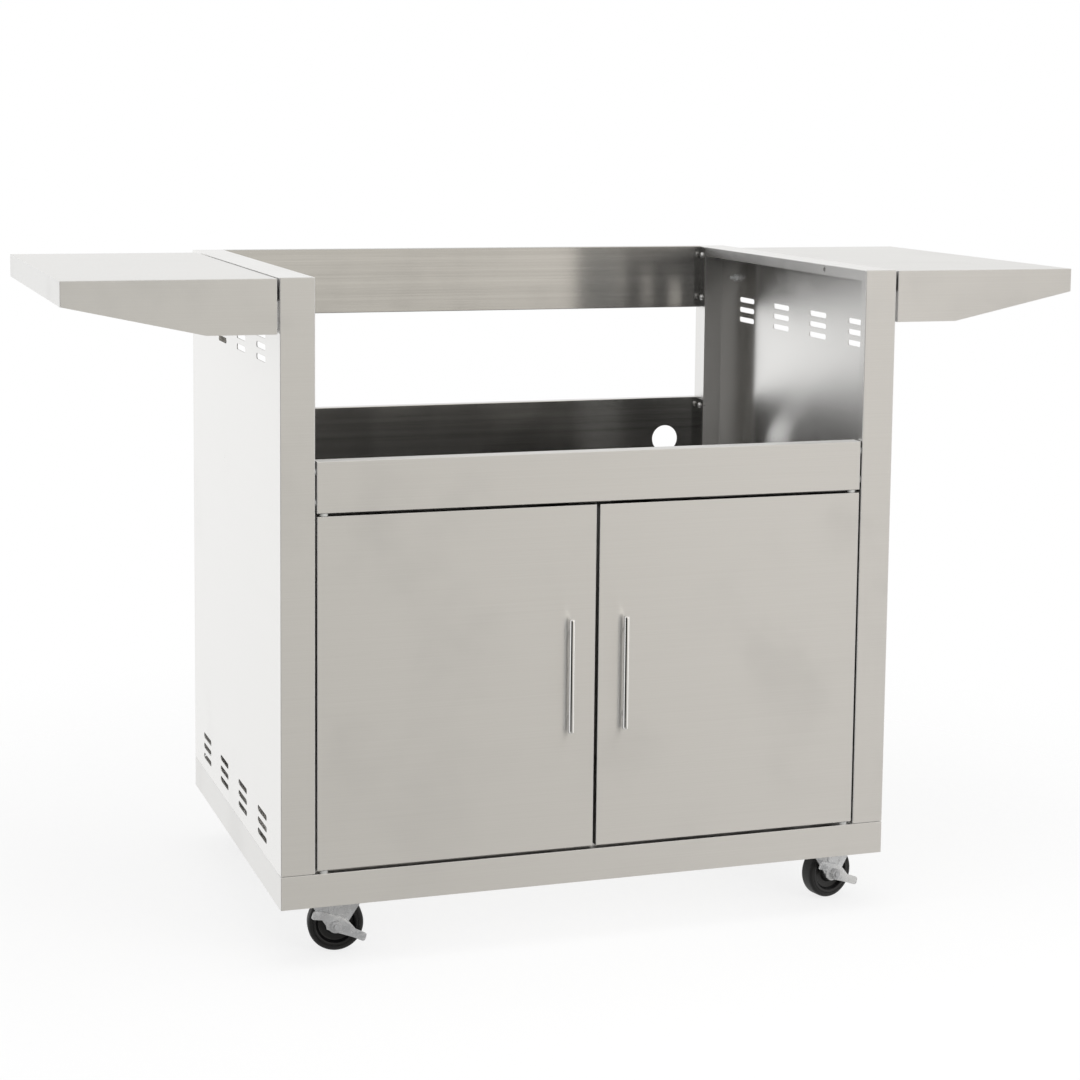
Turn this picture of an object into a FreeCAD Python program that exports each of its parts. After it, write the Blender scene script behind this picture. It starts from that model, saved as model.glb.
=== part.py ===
import FreeCAD, Part

import math
import os

from FreeCAD import Vector

# Grill cart: a stainless cabinet on swivel casters, open at the top for a drop-in grill.
# Millimetres, +X to the right seen from the front, +Y to the back, +Z up.
# The origin is on the floor, under the middle of the cart.

# Sheet and fits
SHEET = 1.2
DOOR_SHEET = 1.0
BEND = 1.0
RUNNING_FIT = 0.05
HOLE_FIT = 0.1
MOVING_GAP = 0.3

# Cabinet
BODY_WIDTH = 866.0
BODY_DEPTH = 612.0
POST_HEIGHT = 781.5
POST_WIDTH = 46.0
POST_RETURN = 14.0
RAIL_LIP = 15.0
FOOT_FLANGE = 24.0
POST_FOOT_GAP = 1.2
SKIRT_HEIGHT = 44.5

# Back of the cabinet
BACK_RETURN = 38.0
BACK_RECESS = 15.5
BACK_FLANGE = 15.0
END_FLANGE = 21.0
END_NOTCH = 2.0
REAR_RAIL_HEIGHT = 98.0
REAR_GAP = 146.0
GAS_HOLE_RADIUS = 21.5
GAS_HOLE_X = 330.0
GAS_HOLE_BELOW_EDGE = 66.5

# Locating holes in the rail lips
LOCATING_HOLE_RADIUS = 3.5
LOCATING_HOLE_DEPTH = 134.0
LOCATING_HOLE_DROP = 7.0

# Vent slots in the side panels
SLOT_LENGTH = 57.0
SLOT_WIDTH = 8.0
SLOT_COLUMNS = 4
SLOT_ROWS = 3
SLOT_COLUMN_PITCH = 131.0
SLOT_ROW_PITCH = 15.7
SLOT_CENTRE_DEPTH = 312.0
UPPER_SLOT_DROP = 97.5
LOWER_SLOT_RISE = 38.0

# Front apron
APRON_TOP_DROP = 237.0
APRON_HEIGHT = 67.5
APRON_END_GAP = 2.0
APRON_TOP_FLANGE = 22.0
APRON_BOTTOM_FLANGE = 45.0
APRON_END_FLANGE = 25.0
APRON_SCREW_DEPTH = 8.0
APRON_SCREW_SPACING = 40.0

# Doors
DOOR_TOP_GAP = 3.9
DOOR_BOTTOM_GAP = 4.5
DOOR_SIDE_GAP = 2.5
DOOR_CENTRE_GAP = 4.5
DOOR_DEPTH = 18.0
DOOR_LIP = 10.0
PIVOT_INSET = 10.0
PIVOT_SETBACK = 6.0
PIN_RADIUS = 3.0
PIN_COLLAR_RADIUS = 4.6
PIN_COLLAR_HEIGHT = 6.0
BUSH_FLANGE_RADIUS = 5.5
BUSH_SLEEVE_RADIUS = 4.3
BUSH_SLEEVE_LENGTH = 5.0

# Door catches
CATCH_INSET = 58.0
CATCH_WIDTH = 42.0
CATCH_DEPTH = 20.0
CATCH_HEIGHT = 12.0
CATCH_MAGNET_HEIGHT = 4.0
CATCH_MAGNET_RECESS = 0.8
CATCH_ROUND = 1.5
STRIKE_WIDTH = 38.0
STRIKE_HEIGHT = 8.5
STRIKE_THICKNESS = 1.5

# Door handles
HANDLE_LENGTH = 155.0
HANDLE_RADIUS = 4.0
HANDLE_OFFSET = 10.0
HANDLE_INSET = 36.5
HANDLE_DROP = 538.0
HANDLE_END_CHAMFER = 0.8
HANDLE_POST_RADIUS = 3.0
HANDLE_POST_SPACING = 115.0
HANDLE_SCREW_RADIUS = 1.5
HANDLE_SCREW_REACH = 4.0
HANDLE_SCREW_HEAD_RADIUS = 3.0
HANDLE_SCREW_HEAD = 2.0

# Shelves
SHELF_LENGTH = 272.0
SHELF_DEPTH = 560.0
SHELF_GAP = 3.0
SHELF_DROP = 1.0
SHELF_SKIRT = 71.0
SHELF_TIP_SKIRT = 32.0
SHELF_FLAT = 90.0
SHELF_BRACKET_INSET = 6.0
SHELF_BRACKET_HEIGHT = 36.0
SHELF_BOLT_FRONT_INSET = 28.5
SHELF_BOLT_BACK_INSET = 12.0
SHELF_BOLT_DROP = 48.0
SHELF_BOLT_RADIUS = 3.0
SHELF_BOLT_REACH = 12.0
SHELF_BOLT_FLATS = 10.0
SHELF_BOLT_HEAD = 4.0
SHELF_NUT = 5.0
SHELF_NUT_CLEARANCE = 6.0

# Frame screws and rivet nuts
SCREW_RADIUS = 2.4
SCREW_HEAD_RADIUS = 4.5
SCREW_HEAD = 3.0
SCREW_REACH = 8.0
RAIL_SCREW_DROPS = (14.0, 82.0)
PANEL_SCREW_DROPS = (13.0, 260.0, 505.0)
FOOT_SCREW_DEPTHS = (110.0, 295.0, 480.0)
FOOT_SCREW_INSET = 8.0
PANEL_FOOT_SCREW_SPACING = 250.0
RIVET_NUT_FLANGE_RADIUS = 5.0
RIVET_NUT_BARREL_RADIUS = 3.5
RIVET_NUT_BARREL = 8.0

# Caster channels under the base sheet
CHANNEL_DEPTH = 25.3
CHANNEL_SHEET = 2.0
CHANNEL_WIDTH = 80.0
CHANNEL_FLANGE = 14.0
CHANNEL_END_GAP = 6.0

# Casters
CASTER_SIDE_INSET = 68.0
CASTER_END_INSET = 75.0
WHEEL_DIAMETER = 75.0
WHEEL_WIDTH = 24.0
WHEEL_HEADROOM = 13.0
TRAIL = 22.0
TYRE_THICKNESS = 6.5
TYRE_ROUND = 4.5
TYRE_INSET = 1.0
HUB_WEB = 11.0
HUB_BOSS_RADIUS = 12.0
HUB_RIM = 4.0
AXLE_RADIUS = 4.0
AXLE_FLATS = 13.0
AXLE_HEAD = 5.3
AXLE_NUT = 6.5
AXLE_END = 1.8
BUSH_WALL = 2.0
BUSH_END_PLAY = 1.0
LEG_SHEET = 2.5
LEG_END_RADIUS = 11.5
LEG_KNEE_FRONT = 12.0
LEG_KNEE_BACK = 55.0
LEG_KNEE_RISE = 30.0
LEG_RIB_RADIUS = 1.4
LEG_RIB_X = 13.0
LEG_RIB_FOOT_RISE = 18.0
CROWN_SHEET = 3.0
CROWN_FRONT = 29.0
CROWN_BACK = 55.0
CROWN_DISC_RADIUS = 21.0
KINGPIN_RADIUS = 5.0
KINGPIN_HEAD_RADIUS = 9.0
KINGPIN_HEAD = 3.0
BALL_RADIUS = 2.5
BALL_RING_RADIUS = 14.5
BALL_COUNT = 12
PLATE_SIDE = 64.0
PLATE_SHEET = 2.5
PLATE_ROUND = 6.0
PLATE_BOLT_SPACING = 47.0
PLATE_BOLT_RADIUS = 3.0
PLATE_BOLT_FLATS = 10.0
PLATE_BOLT_HEAD = 4.0
PLATE_NUT = 5.0
PLATE_BOLT_END = 1.0

# Brake levers on the front casters
LEVER_SHEET = 2.0
LEVER_HUB_RADIUS = 13.5
LEVER_HUB_FLAT = 9.0
LEVER_ARM_WIDTH = 11.5
LEVER_TAB_RISE = 7.0
LEVER_TAB_START = 22.0
LEVER_TAB_LENGTH = 18.0
LEVER_TAB_BEND = 32.0
LEVER_WEB_REACH = 14.5
LEVER_WEB_RISE = 10.0
LEVER_PEDAL_START = 27.0
LEVER_PEDAL_LENGTH = 17.0
LEVER_PEDAL_BEND = 20.0
LEVER_END_ROUND = 3.5
LEVER_TILT = 19.0

# How far each caster is turned from straight sideways, in degrees
FRONT_LEFT_TURN = -8.0
FRONT_RIGHT_TURN = 14.0
REAR_LEFT_TURN = 10.0
REAR_RIGHT_TURN = 13.0

# Heights that follow from the casters up
AXLE_Z = WHEEL_DIAMETER / 2
KINGPIN_FOOT_Z = WHEEL_DIAMETER + WHEEL_HEADROOM
CROWN_BOTTOM_Z = KINGPIN_FOOT_Z + KINGPIN_HEAD + MOVING_GAP
CROWN_TOP_Z = CROWN_BOTTOM_Z + CROWN_SHEET
PLATE_BOTTOM_Z = CROWN_TOP_Z + 2 * BALL_RADIUS + 2 * HOLE_FIT
PLATE_TOP_Z = PLATE_BOTTOM_Z + PLATE_SHEET
BASE_UNDER_Z = PLATE_TOP_Z + CHANNEL_DEPTH
BASE_TOP_Z = BASE_UNDER_Z + SHEET
SKIRT_BOTTOM_Z = BASE_TOP_Z - SKIRT_HEIGHT
TOP_Z = BASE_TOP_Z + POST_HEIGHT
RAIL_LIP_Z = TOP_Z - RAIL_LIP
REAR_RAIL_Z = TOP_Z - REAR_RAIL_HEIGHT
REAR_PANEL_TOP_Z = REAR_RAIL_Z - REAR_GAP
APRON_TOP_Z = TOP_Z - APRON_TOP_DROP
APRON_BOTTOM_Z = APRON_TOP_Z - APRON_HEIGHT
DOOR_TOP_Z = APRON_BOTTOM_Z - DOOR_TOP_GAP
DOOR_BOTTOM_Z = BASE_TOP_Z + DOOR_BOTTOM_GAP
HANDLE_Z = TOP_Z - HANDLE_DROP
SHELF_TOP_Z = TOP_Z - SHELF_DROP
SHELF_BOLT_Z = TOP_Z - SHELF_BOLT_DROP

# Depths, from the front of the posts to the back edge
HANDLE_REACH = HANDLE_OFFSET + HANDLE_RADIUS
FRONT = HANDLE_REACH - (BODY_DEPTH + HANDLE_REACH) / 2
BACK = FRONT + BODY_DEPTH
BACK_SHEET_Y = BACK - BACK_RECESS
BACK_SCREW_Y = BACK_SHEET_Y - END_FLANGE / 2
PIVOT_Y = FRONT + PIVOT_SETBACK
DOOR_BACK_Y = FRONT + DOOR_DEPTH
CATCH_Y = DOOR_BACK_Y + STRIKE_THICKNESS + MOVING_GAP

# Places across the cart, all on its right half
SIDE_X = BODY_WIDTH / 2
OPENING_X = SIDE_X - POST_WIDTH
APRON_X = OPENING_X - APRON_END_GAP
DOOR_OUTER_X = OPENING_X - DOOR_SIDE_GAP
DOOR_FREE_X = DOOR_CENTRE_GAP / 2
PIVOT_X = DOOR_OUTER_X - PIVOT_INSET
HANDLE_X = DOOR_FREE_X + HANDLE_INSET
CATCH_X = DOOR_FREE_X + CATCH_INSET
SHELF_X = SIDE_X + SHELF_GAP
CASTER_X = SIDE_X - CASTER_SIDE_INSET
FOOT_SCREW_X = SIDE_X - SHEET - FOOT_SCREW_INSET
BACK_SHEET_X = OPENING_X - RUNNING_FIT
FORK_INNER = WHEEL_WIDTH / 2 + BUSH_END_PLAY
FORK_OUTER = FORK_INNER + LEG_SHEET
BUSH_RADIUS = AXLE_RADIUS + HOLE_FIT + BUSH_WALL
RIM_RADIUS = WHEEL_DIAMETER / 2 - TYRE_THICKNESS
LEVER_PEDAL_RISE = LEVER_ARM_WIDTH / 2 - LEVER_HUB_FLAT

# Rounding outside a fold, which stays within the sheet
ROUND = min(BEND, 0.8 * SHEET)
DOOR_ROUND = min(BEND, 0.8 * DOOR_SHEET)

# Margin by which a cutting shape runs past what it cuts, and the length taken as nothing
PAST = 5.0
TINY = 1e-4


def block(x_span, y_span, z_span):
    size = [span[1] - span[0] for span in (x_span, y_span, z_span)]
    return Part.makeBox(*size, Vector(x_span[0], y_span[0], z_span[0]))


def rod(radius, start, end):
    along = end - start
    return Part.makeCylinder(radius, along.Length, start, along)


def hexagon(flats, start, end):
    along = end - start
    corner_radius = flats / math.sqrt(3)
    turns = [math.radians(60 * step) for step in range(7)]
    corners = [Vector(corner_radius * math.cos(turn), corner_radius * math.sin(turn), 0) for turn in turns]
    prism = Part.Face(Part.makePolygon(corners)).extrude(Vector(0, 0, along.Length))
    prism.Placement = FreeCAD.Placement(start, FreeCAD.Rotation(Vector(0, 0, 1), along))
    return prism


def plan_sheet(points, thickness, bottom, top):
    """Sheet standing on a plan line of its inner faces, thickened outwards with rounded bends."""
    line = Part.makePolygon([Vector(x, y, bottom) for x, y in points])
    sides = [line.makeOffset2D(sign * thickness, 0, True, True) for sign in (-1, 1)]
    outer = max(sides, key=lambda face: face.Area)
    return outer.extrude(Vector(0, 0, top - bottom))


def profile_prism(points, y_span):
    """Outline in the XZ plane, carried along Y."""
    corners = [Vector(x, y_span[0], z) for x, z in points]
    face = Part.Face(Part.makePolygon(corners + corners[:1]))
    return face.extrude(Vector(0, y_span[1] - y_span[0], 0))


def soften(shape, radius, wanted):
    """Rounds the edges whose bounding box passes the test."""
    edges = [edge for edge in shape.Edges if wanted(edge.BoundBox)]
    return shape.makeFillet(radius, edges)


def mirrored(shape):
    return shape.mirror(Vector(0, 0, 0), Vector(1, 0, 0))


def on_plane(low, high, place):
    return abs(low - place) < TINY and abs(high - place) < TINY


def stands(box):
    return box.XLength < TINY and box.YLength < TINY


def at_top(box, top):
    return on_plane(box.ZMin, box.ZMax, top)


def at_front(box, front):
    return on_plane(box.YMin, box.YMax, front)


# Base pan: cabinet floor with a skirt folded down on four sides

def pivot_place(side):
    return side * PIVOT_X, PIVOT_Y


def foot_screw_places():
    sides = [(side * FOOT_SCREW_X, FRONT + depth) for side in (-1, 1) for depth in FOOT_SCREW_DEPTHS]
    back_y = BACK_SHEET_Y + BACK_FLANGE / 2
    back = [(step * PANEL_FOOT_SCREW_SPACING, back_y) for step in (-1, 0, 1)]
    return sides + back


def base_pan():
    outer = block((-SIDE_X, SIDE_X), (FRONT, BACK), (SKIRT_BOTTOM_Z, BASE_TOP_Z))
    outer = soften(outer, ROUND, lambda box: stands(box) or at_top(box, BASE_TOP_Z))
    inside = SIDE_X - SHEET
    hollow = block((-inside, inside), (FRONT + SHEET, BACK - SHEET), (SKIRT_BOTTOM_Z - PAST, BASE_UNDER_Z))
    holes = []
    for x, y in foot_screw_places():
        low = Vector(x, y, BASE_UNDER_Z - PAST)
        holes.append(rod(SCREW_RADIUS + HOLE_FIT, low, Vector(x, y, BASE_TOP_Z + PAST)))
    for side in (-1, 1):
        x, y = pivot_place(side)
        low = Vector(x, y, BASE_UNDER_Z - PAST)
        holes.append(rod(BUSH_SLEEVE_RADIUS + HOLE_FIT, low, Vector(x, y, BASE_TOP_Z + PAST)))
    return outer.cut([hollow] + holes)


def caster_channel():
    """Hat channel welded under the base sheet; its web carries the two casters of one side."""
    half = CHANNEL_WIDTH / 2
    y_span = (FRONT + SHEET + CHANNEL_END_GAP, BACK - SHEET - CHANNEL_END_GAP)
    web = block((CASTER_X - half, CASTER_X + half), y_span, (PLATE_TOP_Z, PLATE_TOP_Z + CHANNEL_SHEET))
    folds = []
    for side in (-1, 1):
        wall = sorted((CASTER_X + side * half, CASTER_X + side * (half - CHANNEL_SHEET)))
        flange = sorted((CASTER_X + side * (half - CHANNEL_SHEET), CASTER_X + side * (half + CHANNEL_FLANGE)))
        folds.append(block(wall, y_span, (PLATE_TOP_Z, BASE_UNDER_Z)))
        folds.append(block(flange, y_span, (BASE_UNDER_Z - CHANNEL_SHEET, BASE_UNDER_Z)))
    channel = web.fuse(folds).removeSplitter()
    holes = []
    for end_y in caster_ends():
        for x, y in plate_bolt_places(CASTER_X, end_y):
            high = Vector(x, y, PLATE_TOP_Z + CHANNEL_SHEET + PAST)
            holes.append(rod(PLATE_BOLT_RADIUS + HOLE_FIT, Vector(x, y, PLATE_TOP_Z - PAST), high))
    return channel.cut(holes)


# Side panel: front post, wall, back post, top rail with a lip, and foot flange in one sheet

def vent_slot(depth, z):
    reach = (SLOT_LENGTH - SLOT_WIDTH) / 2
    half = SLOT_WIDTH / 2
    middle = FRONT + depth
    x_span = (SIDE_X - SHEET - PAST, SIDE_X + PAST)
    bar = block(x_span, (middle - reach, middle + reach), (z - half, z + half))
    ends = []
    for end in (-1, 1):
        y = middle + end * reach
        ends.append(rod(half, Vector(x_span[0], y, z), Vector(x_span[1], y, z)))
    return bar.fuse(ends).removeSplitter()


def vent_slots():
    slots = []
    for centre_z in (TOP_Z - UPPER_SLOT_DROP, BASE_TOP_Z + LOWER_SLOT_RISE):
        for column in range(SLOT_COLUMNS):
            depth = SLOT_CENTRE_DEPTH + (column - (SLOT_COLUMNS - 1) / 2) * SLOT_COLUMN_PITCH
            for row in range(SLOT_ROWS):
                slots.append(vent_slot(depth, centre_z + (row - (SLOT_ROWS - 1) / 2) * SLOT_ROW_PITCH))
    return slots


def shelf_bolt_ys():
    """Depths of the shelf bolts; the back one keeps inside both the shelf's end and the back post."""
    shelf_limit = FRONT + SHELF_DEPTH - SHELF_BOLT_BACK_INSET
    nut_corner = SHELF_BOLT_FLATS / math.sqrt(3)
    post_limit = BACK - SHEET - SHELF_NUT_CLEARANCE - nut_corner
    return [FRONT + SHELF_BOLT_FRONT_INSET, min(shelf_limit, post_limit)]


def apron_screw_places():
    middle = APRON_BOTTOM_Z + APRON_HEIGHT / 2
    return [(FRONT + APRON_SCREW_DEPTH, middle + end * APRON_SCREW_SPACING / 2) for end in (-1, 1)]


def back_screw_zs():
    rail = [TOP_Z - drop for drop in RAIL_SCREW_DROPS]
    panel = [REAR_PANEL_TOP_Z - drop for drop in PANEL_SCREW_DROPS]
    return rail + panel


def side_panel():
    wall_x = SIDE_X - SHEET
    return_x = OPENING_X + SHEET
    front_y = FRONT + SHEET
    back_y = BACK - SHEET
    plan = [
        (return_x, FRONT + POST_RETURN),
        (return_x, front_y),
        (wall_x, front_y),
        (wall_x, back_y),
        (return_x, back_y),
        (return_x, BACK - BACK_RETURN),
    ]
    wall = plan_sheet(plan, SHEET, BASE_TOP_Z, TOP_Z - ROUND)
    rail = block((OPENING_X, SIDE_X), (FRONT, BACK), (TOP_Z - SHEET, TOP_Z))
    rail = soften(rail, ROUND, lambda box: at_top(box, TOP_Z) or stands(box))
    lip_y = (FRONT + POST_RETURN, BACK - SHEET)
    lip = block((OPENING_X, OPENING_X + SHEET), lip_y, (RAIL_LIP_Z, TOP_Z - ROUND))
    foot_y = (FRONT + POST_RETURN, BACK - POST_RETURN)
    foot = block((SIDE_X - FOOT_FLANGE, wall_x), foot_y, (BASE_TOP_Z, BASE_TOP_Z + SHEET))
    panel = wall.fuse([rail, lip, foot]).removeSplitter()
    panel = soften(panel, ROUND, lambda box: on_plane(box.XMin, box.XMax, SIDE_X) and at_top(box, BASE_TOP_Z))
    cuts = vent_slots()
    post_x = (OPENING_X - PAST, SIDE_X + PAST)
    post_foot_z = (BASE_TOP_Z - PAST, BASE_TOP_Z + POST_FOOT_GAP)
    for post_y in ((FRONT - PAST, foot_y[0]), (foot_y[1], BACK + PAST)):
        cuts.append(block(post_x, post_y, post_foot_z))
    cuts.append(block((OPENING_X - PAST, wall_x - FOOT_FLANGE), (foot_y[0] - PAST, foot_y[1] + PAST), post_foot_z))
    for y in shelf_bolt_ys():
        start = Vector(wall_x - PAST, y, SHELF_BOLT_Z)
        cuts.append(rod(SHELF_BOLT_RADIUS + HOLE_FIT, start, Vector(SIDE_X + PAST, y, SHELF_BOLT_Z)))
    for depth in FOOT_SCREW_DEPTHS:
        low = Vector(FOOT_SCREW_X, FRONT + depth, BASE_TOP_Z - PAST)
        cuts.append(rod(SCREW_RADIUS + HOLE_FIT, low, low + Vector(0, 0, SHEET + 2 * PAST)))
    through = Vector(SHEET + 2 * PAST, 0, 0)
    for y, z in apron_screw_places():
        start = Vector(OPENING_X - PAST, y, z)
        cuts.append(rod(RIVET_NUT_BARREL_RADIUS + HOLE_FIT, start, start + through))
    for z in back_screw_zs():
        start = Vector(OPENING_X - PAST, BACK_SCREW_Y, z)
        cuts.append(rod(SCREW_RADIUS + HOLE_FIT, start, start + through))
    hole = Vector(OPENING_X - PAST, FRONT + LOCATING_HOLE_DEPTH, TOP_Z - LOCATING_HOLE_DROP)
    cuts.append(rod(LOCATING_HOLE_RADIUS, hole, hole + through))
    return panel.cut(cuts)


# Back sheets: a channel flush with the top, and the lower panel with the gas hole.
# Their ends fold forwards and are screwed to the back posts.

def back_sheet(bottom, top, screw_zs):
    x_span = (-BACK_SHEET_X, BACK_SHEET_X)
    y_span = (BACK_SHEET_Y, BACK_SHEET_Y + SHEET)
    flange_y = (BACK_SHEET_Y, BACK_SHEET_Y + BACK_FLANGE)
    web = block(x_span, y_span, (bottom, top))
    flanges = [block(x_span, flange_y, (top - SHEET, top)), block(x_span, flange_y, (bottom, bottom + SHEET))]
    sheet = web.fuse(flanges).removeSplitter()
    sheet = soften(sheet, ROUND, lambda box: at_front(box, BACK_SHEET_Y) and box.XLength > TINY)
    ends = []
    holes = []
    for side in (-1, 1):
        end_x = sorted((side * (BACK_SHEET_X - SHEET), side * BACK_SHEET_X))
        end_y = (BACK_SHEET_Y - END_FLANGE, BACK_SHEET_Y + SHEET)
        ends.append(block(end_x, end_y, (bottom + END_NOTCH, top - END_NOTCH)))
        for z in screw_zs:
            start = Vector(side * (BACK_SHEET_X - SHEET - PAST), BACK_SCREW_Y, z)
            holes.append(rod(SCREW_RADIUS + HOLE_FIT, start, start + Vector(side * (SHEET + 2 * PAST), 0, 0)))
    return sheet.fuse(ends).removeSplitter().cut(holes)


def rear_top_rail():
    return back_sheet(REAR_RAIL_Z, TOP_Z, [TOP_Z - drop for drop in RAIL_SCREW_DROPS])


def rear_lower_panel():
    screw_zs = [REAR_PANEL_TOP_Z - drop for drop in PANEL_SCREW_DROPS]
    sheet = back_sheet(BASE_TOP_Z, REAR_PANEL_TOP_Z, screw_zs)
    centre = Vector(GAS_HOLE_X, BACK_SHEET_Y - PAST, REAR_PANEL_TOP_Z - GAS_HOLE_BELOW_EDGE)
    holes = [rod(GAS_HOLE_RADIUS, centre, centre + Vector(0, SHEET + 2 * PAST, 0))]
    for step in (-1, 0, 1):
        low = Vector(step * PANEL_FOOT_SCREW_SPACING, BACK_SHEET_Y + BACK_FLANGE / 2, BASE_TOP_Z - PAST)
        holes.append(rod(SCREW_RADIUS + HOLE_FIT, low, low + Vector(0, 0, SHEET + 2 * PAST)))
    return sheet.cut(holes)


# Front apron: folded channel with end flanges, held off the posts by rivet nuts

def front_apron():
    inside = APRON_X - SHEET
    z_span = (APRON_BOTTOM_Z, APRON_TOP_Z)
    outer = block((-APRON_X, APRON_X), (FRONT, FRONT + APRON_BOTTOM_FLANGE), z_span)
    outer = soften(outer, ROUND, lambda box: at_front(box, FRONT))
    behind = (FRONT + SHEET, FRONT + APRON_BOTTOM_FLANGE + PAST)
    cuts = [block((-inside, inside), behind, (APRON_BOTTOM_Z + SHEET, APRON_TOP_Z - SHEET))]
    past_top = (FRONT + APRON_TOP_FLANGE, FRONT + APRON_BOTTOM_FLANGE + PAST)
    cuts.append(block((-inside, inside), past_top, (APRON_TOP_Z - SHEET - PAST, APRON_TOP_Z + PAST)))
    past_end = (FRONT + APRON_END_FLANGE, FRONT + APRON_BOTTOM_FLANGE + PAST)
    for side in (-1, 1):
        ends = sorted((side * (inside - PAST), side * (APRON_X + PAST)))
        cuts.append(block(ends, past_end, (APRON_BOTTOM_Z + SHEET, APRON_TOP_Z + PAST)))
        for y, z in apron_screw_places():
            start = Vector(side * (inside - PAST), y, z)
            cuts.append(rod(SCREW_RADIUS + HOLE_FIT, start, Vector(side * (APRON_X + PAST), y, z)))
        x, y = pivot_place(side)
        low = Vector(x, y, APRON_BOTTOM_Z - PAST)
        cuts.append(rod(BUSH_SLEEVE_RADIUS + HOLE_FIT, low, low + Vector(0, 0, SHEET + 2 * PAST)))
    return outer.cut(cuts)


# Shelf: folded pan whose skirt runs level beside the cabinet and then tapers to the tip

def shelf():
    tip_x = SHELF_X + SHELF_LENGTH
    knee_x = SHELF_X + SHELF_FLAT
    deep_z = SHELF_TOP_Z - SHELF_SKIRT
    outline = [
        (SHELF_X, SHELF_TOP_Z),
        (tip_x, SHELF_TOP_Z),
        (tip_x, SHELF_TOP_Z - SHELF_TIP_SKIRT),
        (knee_x, deep_z),
        (SHELF_X, deep_z),
    ]
    y_span = (FRONT, FRONT + SHELF_DEPTH)
    pan = profile_prism(outline, y_span)
    pan = soften(pan, ROUND, lambda box: stands(box) or at_top(box, SHELF_TOP_Z))
    inner_x = (SHELF_X + SHEET, tip_x - SHEET)
    inner_y = (y_span[0] + SHEET, y_span[1] - SHEET)
    cuts = [block(inner_x, inner_y, (deep_z - PAST, SHELF_TOP_Z - SHEET))]
    for y in shelf_bolt_ys():
        start = Vector(SHELF_X - PAST, y, SHELF_BOLT_Z)
        cuts.append(rod(SHELF_BOLT_RADIUS + HOLE_FIT, start, start + Vector(SHEET + 2 * PAST, 0, 0)))
    return pan.cut(cuts)


def shelf_bracket():
    """Flat plate between the shelf and the side panel, which makes the dark gap there."""
    y_span = (FRONT + SHELF_BRACKET_INSET, FRONT + SHELF_DEPTH - SHELF_BRACKET_INSET)
    z_span = (SHELF_BOLT_Z - SHELF_BRACKET_HEIGHT / 2, SHELF_BOLT_Z + SHELF_BRACKET_HEIGHT / 2)
    plate = block((SIDE_X, SHELF_X), y_span, z_span)
    holes = []
    for y in shelf_bolt_ys():
        start = Vector(SIDE_X - PAST, y, SHELF_BOLT_Z)
        holes.append(rod(SHELF_BOLT_RADIUS + HOLE_FIT, start, Vector(SHELF_X + PAST, y, SHELF_BOLT_Z)))
    return plate.cut(holes)


def shelf_fasteners():
    """Hex bolts from inside each shelf, with nuts on the inside of the side panel."""
    bolts = []
    nuts = []
    wall_x = SIDE_X - SHEET
    seat_x = SHELF_X + SHEET
    for y in shelf_bolt_ys():
        seat = Vector(seat_x, y, SHELF_BOLT_Z)
        tip = Vector(wall_x - SHELF_BOLT_REACH, y, SHELF_BOLT_Z)
        bolt = rod(SHELF_BOLT_RADIUS, tip, seat)
        bolt = bolt.fuse(hexagon(SHELF_BOLT_FLATS, seat, seat + Vector(SHELF_BOLT_HEAD, 0, 0)))
        nut_face = Vector(wall_x, y, SHELF_BOLT_Z)
        nut = hexagon(SHELF_BOLT_FLATS, nut_face - Vector(SHELF_NUT, 0, 0), nut_face)
        nut = nut.cut(rod(SHELF_BOLT_RADIUS + RUNNING_FIT, tip, seat))
        bolts += [bolt, mirrored(bolt)]
        nuts += [nut, mirrored(nut)]
    return Part.makeCompound(bolts), Part.makeCompound(nuts)


# Frame screws: pan heads through the ends of the back sheets, the apron ends and the foot flanges

def screw(seat, along):
    """Screw whose head rests on the seat and whose shank runs along the given unit vector."""
    head = rod(SCREW_HEAD_RADIUS, seat - along * SCREW_HEAD, seat)
    crown = seat - along * SCREW_HEAD
    rim = [edge for edge in head.Edges if edge.CenterOfMass.distanceToPoint(crown) < TINY]
    head = head.makeFillet(SCREW_HEAD / 2, rim)
    return head.fuse(rod(SCREW_RADIUS, seat, seat + along * SCREW_REACH))


def frame_screws():
    screws = []
    down = Vector(0, 0, -1)
    for x, y in foot_screw_places():
        screws.append(screw(Vector(x, y, BASE_TOP_Z + SHEET), down))
    for side in (-1, 1):
        for z in back_screw_zs():
            screws.append(screw(Vector(side * (BACK_SHEET_X - SHEET), BACK_SCREW_Y, z), Vector(side, 0, 0)))
        for y, z in apron_screw_places():
            screws.append(screw(Vector(side * (APRON_X - SHEET), y, z), Vector(side, 0, 0)))
    return Part.makeCompound(screws)


def rivet_nuts():
    nuts = []
    for side in (-1, 1):
        for y, z in apron_screw_places():
            foot = Vector(side * APRON_X, y, z)
            post = Vector(side * OPENING_X, y, z)
            far = post + Vector(side * RIVET_NUT_BARREL, 0, 0)
            nut = rod(RIVET_NUT_FLANGE_RADIUS, foot, post).fuse(rod(RIVET_NUT_BARREL_RADIUS, post, far))
            nuts.append(nut.cut(rod(SCREW_RADIUS + RUNNING_FIT, foot, far)))
    return Part.makeCompound(nuts)


# Doors: folded pans on pivot pins, closed against magnetic catches

def handle_post_zs():
    return [HANDLE_Z + end * HANDLE_POST_SPACING / 2 for end in (-1, 1)]


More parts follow.
